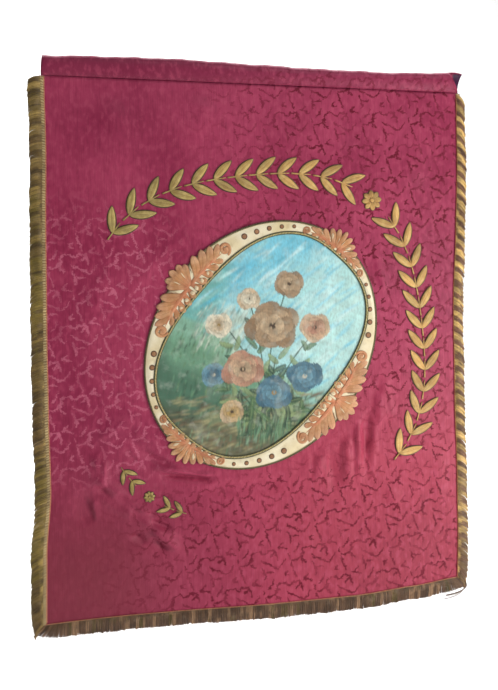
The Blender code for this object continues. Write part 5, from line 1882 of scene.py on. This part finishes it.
def make_dot(x, drop, radius, thick, colour, ground=on_cloth):
    """A round raised dot, its edge marked as an outline."""
    bm = bmesh.new()
    bmesh.ops.create_uvsphere(bm, u_segments=16, v_segments=8, radius=1.0)
    dyes = bm.verts.layers.float_color.new("dye")
    across = bm.verts.layers.float.new("across")
    bm.loops.layers.uv.new("UVMap")
    uv_of = {}
    for vertex in bm.verts:
        dx, dd, out = vertex.co
        vertex[across] = min(math.hypot(dx, dd), 1.0)
        vertex[dyes] = (*colour, 1.0)
        uv_of[vertex] = (dx * radius, dd * radius)
        lift = ground(x, drop) + thick * (0.5 + 0.5 * out)
        vertex.co = cloth_place(x + radius * dx, drop + radius * dd, lift)
    write_uv(bm, uv_of)
    face_front(bm)
    return bm


print("leaf builder ready")


# %% The finish of satin stitch
def stitch_finish(name, roughness, metallic, outline, outline_from, light, **more):
    """Satin stitch that slants away from the vein, its edge darkened from a given share outwards, with
    painted shade in the grooves between stitches and along the vein.
    """
    material, tree, shader = new_finish(name, roughness, Metallic=metallic, **more)
    u, v, _ = parts_of(tree, tree.nodes.new("ShaderNodeUVMap").outputs["UV"])
    across = attribute(tree, "across", "Fac")
    slanted = calc(tree, "SUBTRACT", u, calc(tree, "MULTIPLY", calc(tree, "ABSOLUTE", v), 0.8))
    stitches = ridges(tree, slanted, 0.0009)
    place = object_place(tree)
    patches = noise(tree, place, 90.0, 3.0)
    broad = noise(tree, place, 22.0, 2.0)
    colour = blend_colours(tree, ramp(tree, patches, 0.35, 0.75, 0.0, 0.5), attribute(tree, "dye"), light)
    colour = blend_colours(tree, ramp(tree, broad, 0.35, 0.7, 0.0, 0.35), colour, outline)
    # painted shade in the grooves between the stitches
    colour = blend_colours(tree, ramp(tree, stitches, 0.45, 0.0, 0.0, 0.4), colour, outline)
    # painted shade along the vein's groove
    colour = blend_colours(tree, ramp(tree, across, 0.10, 0.0, 0.0, 0.35), colour, outline)
    at_edge = ramp(tree, across, outline_from, outline_from + 0.16, 0.0, 0.92)
    colour = blend_colours(tree, at_edge, colour, outline)
    tree.links.new(colour, shader.inputs["Base Color"])
    tree.links.new(relief(tree, stitches, 0.00025, 0.7), shader.inputs["Normal"])
    return material


TERRACOTTA_STITCH = stitch_finish(
    "terracotta silk stitch", 0.48, 0.0, solid(dye(126, 78, 44)), 0.80, solid(dye(230, 186, 138)),
    Sheen_Weight=0.2,
)
GOLD_STITCH = stitch_finish(
    "gold thread stitch", 0.42, 0.25, solid(dye(70, 48, 26)), 0.80, solid(dye(222, 198, 128)),
    Sheen_Weight=0.1,
)
print("stitch finishes ready")

# %% [markdown]
# ## Acanthus and palmettes on the frame
# Four clusters of leaves sit on the band. Each is laid out along the band first: along gives the distance
# from the cluster's middle and out the distance from the frame's edge, both in millimetres. A function then
# bends that plan round the oval. Both halves of a cluster mirror each other, so a table holds one half: a
# stem that ends in a scroll, lobes that spread outwards from it over the band's edge, short lobes that curl
# towards the picture, and slits where the ivory shows.

# %% Plans of the clusters, in millimetres
Lobe = namedtuple("Lobe", "along out tip_along tip_out bow width fullness")
ACANTHUS_INNER = (
    Lobe(84, -30, 108, -40, 4, 13, 1.1), Lobe(66, -31, 88, -46, 5, 16, 1.1),
    Lobe(46, -32, 66, -50, 6, 17, 1.2),
    Lobe(24, -33, 42, -54, 6, 17, 1.3), Lobe(8, -33, 18, -56, 6, 16, 1.3),
)
ACANTHUS_OUTER = (
    Lobe(78, -29, 116, -5, -7, 16, 1.0), Lobe(62, -30, 97, 2, -9, 19, 1.2),
    Lobe(44, -30, 77, 7, -10, 21, 1.2),
    Lobe(26, -31, 55, 9, -9, 21, 1.3), Lobe(8, -28, 31, 8, 4, 17, 1.3), Lobe(4, -29, 20, 19, 3, 19, 1.5),
    Lobe(0, -31, 0, 24, 0, 20, 1.8),
)
ACANTHUS_STEM = Lobe(0, -32, 116, -27, 5, 10, 0.55)
ACANTHUS_SLITS = (
    Lobe(9, -16, 13, 4, 2, 3.4, 1.0), Lobe(28, -18, 35, -2, -2, 3.2, 1.0),
    Lobe(6, -52, 13, -42, 4, 11.0, 1.0),
    Lobe(29, -50, 37, -41, 4, 10.0, 1.0), Lobe(53, -47, 60, -39, 3, 7.0, 1.0),
)
PALMETTE_INNER = (
    Lobe(56, -15, 70, -21, 1, 9, 1.1), Lobe(38, -16, 52, -25, 2, 12, 1.1), Lobe(20, -17, 33, -28, 3, 13, 1.2),
    Lobe(6, -17, 14, -28, 3, 12, 1.2),
)
PALMETTE_OUTER = (
    Lobe(50, -15, 77, -5, 3, 11, 1.0), Lobe(36, -15, 64, -1, -3, 13, 1.1), Lobe(24, -16, 47, 5, -3, 14, 1.3),
    Lobe(12, -18, 33, 13, 3, 15, 1.5), Lobe(5, -19, 17, 21, 3, 14, 1.7), Lobe(0, -20, 0, 26, 0, 13, 1.8),
)
PALMETTE_STEM = Lobe(0, -20, 78, -15, 4, 7, 0.55)
PALMETTE_SLITS = (
    Lobe(19, -12, 28, 4, 2, 7.5, 1.4), Lobe(5, -12, 8, 5, 2, 2.2, 1.0), Lobe(44, -12, 53, -5, 2, 3.0, 1.0),
)
Plan = namedtuple("Plan", "degree inner outer stem slits scroll_along scroll_out scroll_size")
ACANTHUS = Plan(5.04, ACANTHUS_INNER, ACANTHUS_OUTER, ACANTHUS_STEM, ACANTHUS_SLITS, 125.0, -23.0, 14.0)
PALMETTE = Plan(4.19, PALMETTE_INNER, PALMETTE_OUTER, PALMETTE_STEM, PALMETTE_SLITS, 84.0, -14.0, 9.0)
TERRACOTTA = np.array(dye(204, 138, 90))
LEAF_ROOT = np.array(dye(212, 128, 84))
LEAF_MIDDLE = np.array(dye(192, 132, 78))
LEAF_TIP = np.array(dye(214, 156, 118))
SLIT_IVORY = np.array(dye(238, 222, 184))
print("lobes of a half acanthus", len(ACANTHUS_INNER) + len(ACANTHUS_OUTER))


# %% Build one cluster
def frame_placer(middle, plan, side):
    """Turns (along, out) in millimetres into a place on the cloth, on one side of a cluster."""
    def place(along, out):
        return frame_point(math.radians(middle + side * along / plan.degree), out * 0.001)
    return place


def lobe_form(place, lobe, thick, colour, **more):
    """One lobe, its spine bowed away from the straight line between its root and its tip."""
    bow_along = 0.5 * (lobe.along + lobe.tip_along) - 0.4 * lobe.bow
    bow_out = 0.5 * (lobe.out + lobe.tip_out) + (lobe.bow if lobe.tip_out > lobe.out else -lobe.bow)
    root, tip = place(lobe.along, lobe.out), place(lobe.tip_along, lobe.tip_out)
    spine = bezier(root, place(bow_along, bow_out), tip)
    return make_leaf(
        spine, lobe.width * 0.001, thick, colour, ground=on_medallion, fullness=lobe.fullness, **more
    )


def leaf_tones():
    """Red near the root, olive gold in the middle and peach at the tip, a little different for each lobe."""
    light = 0.88 + 0.22 * chance.random()
    return Tones(LEAF_ROOT * light, LEAF_MIDDLE * light, LEAF_TIP * light)


def scroll_form(place, plan, colour):
    """A curl of one and a half turns whose outer end runs back into the stem."""
    def spine(s):
        turn = math.pi * (-0.5 + 2.7 * s)
        radius = plan.scroll_size * (1.0 - 0.74 * s)
        return place(plan.scroll_along + radius * math.cos(turn), plan.scroll_out + radius * math.sin(turn))
    return make_leaf(
        spine, 0.00060 * plan.scroll_size, 0.0028, colour, ground=on_medallion, columns=30, rows=4,
        taper=lambda s: 0.45 + 0.55 * math.sin(math.pi * min(0.10 + 0.62 * s, 1.0)),
    )


def build_cluster(name, node, middle, plan):
    """Both halves of a cluster; what lies on its middle line is made once, with the first half."""
    forms = []
    for side in (1.0, -1.0):
        place = frame_placer(middle, plan, side)
        lobes = [(lobe, 0.0019 + 0.0001 * i) for i, lobe in enumerate(plan.inner)]
        lobes += [(lobe, 0.0021 + 0.00014 * i) for i, lobe in enumerate(plan.outer)]
        for lobe, thick in lobes:
            if lobe.along or side > 0.0:
                forms.append(lobe_form(place, lobe, thick, leaf_tones(), columns=14, taper=tongue))
        forms.append(lobe_form(place, plan.stem, 0.0027, LEAF_ROOT * 0.94))
        for slit in plan.slits:
            if slit.tip_along or side > 0.0:
                forms.append(lobe_form(place, slit, 0.0035, SLIT_IVORY, groove=0.0, columns=8, rows=4))
        forms.append(scroll_form(place, plan, TERRACOTTA * 0.95))
        x, drop = place(plan.scroll_along, plan.scroll_out)
        forms.append(make_dot(x, drop, 0.00034 * plan.scroll_size, 0.0032, TERRACOTTA * 0.8, on_medallion))
    mesh = gather(name, forms)
    piece = add_piece(name, mesh, TERRACOTTA_STITCH, "silk_embroidery", node)
    print(name, "triangles", triangles(mesh))


build_cluster("acanthus_leaves_upper", "acanthus_upper_left", 90.0, ACANTHUS)
build_cluster("acanthus_leaves_lower", "acanthus_lower_right", 270.0, ACANTHUS)
build_cluster("palmette_leaves_upper", "palmette_upper_right", 0.0, PALMETTE)
build_cluster("palmette_leaves_lower", "palmette_lower_left", 180.0, PALMETTE)

# %% [markdown]
# Rows of dots fill the bare quarters of the band, larger towards the acanthus.

# %% Dots on the band
DOTS_A_QUARTER = 5
DOT_START = math.radians(27.5)
DOT_END = math.radians(54.0)
DOT_DYE = np.array(dye(158, 108, 66))
forms = []
for middle, side in ((0.0, 1.0), (0.0, -1.0), (math.pi, 1.0), (math.pi, -1.0)):
    for i in range(DOTS_A_QUARTER):
        share = i / (DOTS_A_QUARTER - 1)
        angle = middle + side * (DOT_START + (DOT_END - DOT_START) * share)
        x, drop = frame_point(angle, -0.0105 - 0.0065 * share)
        radius = 0.0045 + 0.0024 * share
        forms.append(make_dot(x, drop, radius, 0.0020, DOT_DYE, on_medallion))
DOT_STITCH = stitch_finish(
    "brown dot stitch", 0.5, 0.0, solid(dye(86, 56, 30)), 0.58, solid(dye(190, 142, 96)),
    Sheen_Weight=0.1,
)
dots = add_piece("band_dots", gather("band_dots", forms), DOT_STITCH, "silk_embroidery")
print("dots", len(forms))

# %% [markdown]
# ## The gold garland
# Two branches of laurel in gold thread start low on either side and meet at a rosette over the medallion,
# and a small pair lies under it. Each sprig is two padded leaves and a length of stem, and a dark cord is
# couched round every leaf, which sets the gold off from the crimson.

# %% Place sprigs along the garland
WREATH_TOP = 0.200
WREATH_SPRIGS = 12
SPRIG_TAIL = 0.30
SPRIG_WIDTH = 0.01855
SPRIG_ANGLE = math.radians(37)
SPRIG_BOW = 0.58
SPRIG_BOW_ANGLE = 0.72
SMALL_SPRIGS = 2
SMALL_STEP = 0.070
SMALL_START = 0.55
SPRIG_THICK = 0.0034
SPRIG_FULLNESS = 0.82
OLIVE_GOLD = np.array(dye(172, 150, 82))
# the warmer gold is painted light on the lamp's side
LAMPLIT_GOLD = np.array(dye(204, 158, 90))


def garland_frame(angle, heading):
    """The middle and the two directions of a sprig at an angle round the garland, in (x, up)."""
    def at(a):
        return Vector(turned(wreath_radius(a) * math.cos(a), wreath_radius(a) * math.sin(a), FRAME_TILT))
    centre = at(angle)
    forward = (at(angle - heading * 0.001) - centre).normalized()
    return centre, forward, Vector((-forward.y, forward.x))


def garland_place(angle, heading, x, y):
    """A place on the cloth, given along and beside the garland's run."""
    centre, forward, aside = garland_frame(angle, heading)
    point = centre + forward * x + aside * y
    return MEDALLION_X + point.x, MEDALLION_DROP - point.y


def garland_polar(angle, heading, reach, turn):
    """A place this far from a point of the garland, at a turn from its run."""
    return garland_place(angle, heading, reach * math.cos(turn), reach * math.sin(turn))


def gold_at(x):
    """Olive gold on the left, painted warmer towards the lamp as painted light, with a random tone for each
    leaf.
    """
    share = eased((x + 0.30) / 0.55)
    tone = OLIVE_GOLD + (LAMPLIT_GOLD - OLIVE_GOLD) * share
    return tone * (0.88 + 0.24 * chance.random())


def leaf_edge(spine, width, fullness, count=15):
    """The outline of a leaf as a ring of (x, drop) points."""
    ring = []
    for side in (1.0, -1.0):
        for i in range(count):
            s = i / (count - 1) if side > 0.0 else 1.0 - i / (count - 1)
            here, aside = across_spine(spine, s)
            half = 0.5 * width * max(leaf_profile(s, fullness), 0.05) * side
            ring.append((here[0] + aside[0] * half, here[1] + aside[1] * half))
    return ring


forms = []
rings = []


def add_sprig(angle, heading, scale):
    """One pair of leaves and their stem."""
    length = SPRIG_LEAF * scale
    for lean in (1.0, -1.0):
        reach = length * (0.97 + 0.05 * chance.random())
        root = garland_place(angle, heading, 0.0, 0.0)
        bow = garland_polar(angle, heading, SPRIG_BOW * reach, lean * SPRIG_BOW_ANGLE)
        tip = garland_polar(angle, heading, reach, lean * SPRIG_ANGLE)
        spine = bezier(root, bow, tip)
        width = SPRIG_WIDTH * scale
        forms.append(make_leaf(
            spine, width, SPRIG_THICK, gold_at(tip[0]),
            fullness=SPRIG_FULLNESS, groove=0.5, columns=14, rows=8,
        ))
        rings.append(leaf_edge(spine, width + 0.0010, SPRIG_FULLNESS))
    start = garland_place(angle, heading, -SPRIG_TAIL * length, 0.0)
    end = garland_place(angle, heading, 0.46 * length, 0.0)
    middle = garland_place(angle, heading, 0.08 * length, 0.0)
    stem_spine = bezier(start, middle, end)
    forms.append(make_leaf(
        stem_spine, 0.0038 * scale, 0.8 * SPRIG_THICK, gold_at(end[0]), columns=8, rows=4,
        taper=lambda s: 1.0 - 0.35 * s,
    ))


step = (WREATH_HALF_ANGLE - WREATH_TOP) / (WREATH_SPRIGS - 1 + SPRIG_TAIL)
for side in (1.0, -1.0):
    for i in range(WREATH_SPRIGS):
        add_sprig(side * (WREATH_HALF_ANGLE - step * (i + SPRIG_TAIL)), side, 1.0)
    for i in range(SMALL_SPRIGS):
        off_middle = SMALL_HALF_ANGLE - SMALL_STEP * (i + SMALL_START)
        add_sprig(math.pi - side * off_middle, -side, SMALL_SCALE)
print("leaves in the garland", len(rings))

# %% Rosettes
PETALS = 8
PETAL_ROOT = 0.003
PETAL_TIP = 0.0235
PETAL_WIDTH = 0.0135
PETAL_FULLNESS = 1.3
for angle, scale in ((0.0, 1.0), (math.pi, SMALL_SCALE)):
    for i in range(PETALS):
        turn = 2.0 * math.pi * i / PETALS
        root = garland_polar(angle, 1.0, PETAL_ROOT * scale, turn)
        tip = garland_polar(angle, 1.0, PETAL_TIP * scale, turn)
        middle = (0.5 * (root[0] + tip[0]), 0.5 * (root[1] + tip[1]))
        spine = bezier(root, middle, tip)
        width = PETAL_WIDTH * scale
        forms.append(make_leaf(
            spine, width, SPRIG_THICK, gold_at(tip[0]), fullness=PETAL_FULLNESS, groove=0.5, columns=8
        ))
        rings.append(leaf_edge(spine, width + 0.0008, PETAL_FULLNESS, 9))
    x, drop = garland_place(angle, 1.0, 0.0, 0.0)
    forms.append(make_dot(x, drop, 0.0052 * scale, 0.0042, gold_at(x) * 1.1))
print("forms in the goldwork", len(forms))

# %% The garland's piece and its dark couched edge
COUCHED_DYE = np.array(dye(70, 46, 26))
COUCHED_RADIUS = 0.00075
sprig_nodes = [f"sprig_{word}_{i + 1:02d}" for word in ("left", "right") for i in range(WREATH_SPRIGS)]
sprig_nodes += [f"small_sprig_{word}_{i + 1}" for word in ("left", "right") for i in range(SMALL_SPRIGS)]
garland = add_piece(
    "gold_garland", gather("gold_garland", forms), GOLD_STITCH, "gold_thread",
    *sprig_nodes, "rosette", "small_rosette",
)
bm = bmesh.new()
for ring in rings:
    line = [tuple(cloth_place(x, drop, 0.0013)) for x, drop in ring]
    mesh = curve_mesh("couched", [line], COUCHED_RADIUS, closed=True)
    give_colours(mesh, "dye", [COUCHED_DYE * (0.8 + 0.4 * chance.random())], 1)
    bm.from_mesh(mesh)
    bpy.data.meshes.remove(mesh)
couched = add_piece("couched_edges", mesh_from(bm, "couched_edges"), CORD, "outline_cord")
print("garland triangles", triangles(garland.data), "couched", triangles(couched.data))

# %% [markdown]
# ## Sewing
# A row of small stitches holds the sleeve's seam. Each stitch is a short arch of thread in the cloth's own
# colour, and the row is one mesh.

# %% Stitches
STITCH_PITCH = 0.0052
STITCH_HALF = 0.0016
STITCH_UP = 0.0028
STITCH_RADIUS = 0.00028
stitch_lines = []
for i in range(int((SLEEVE_RIGHT - SLEEVE_LEFT) / STITCH_PITCH)):
    x = SLEEVE_LEFT + 0.003 + STITCH_PITCH * i
    y = -0.0042 - gathers(x, STITCH_UP)
    z = SEAM_Z + STITCH_UP
    stitch_lines.append([
        (x, y + 0.0002, z), (x + STITCH_HALF, y - 0.0001, z + 0.0001), (x + 2.0 * STITCH_HALF, y + 0.0002, z)
    ])
seam = curve_mesh("seam_stitches", stitch_lines, STITCH_RADIUS)
give_colours(seam, "dye", [dye(120, 30, 58)] * len(stitch_lines), len(stitch_lines))
add_piece("seam_stitches", seam, CORD, "damask")
print("stitches", len(stitch_lines))
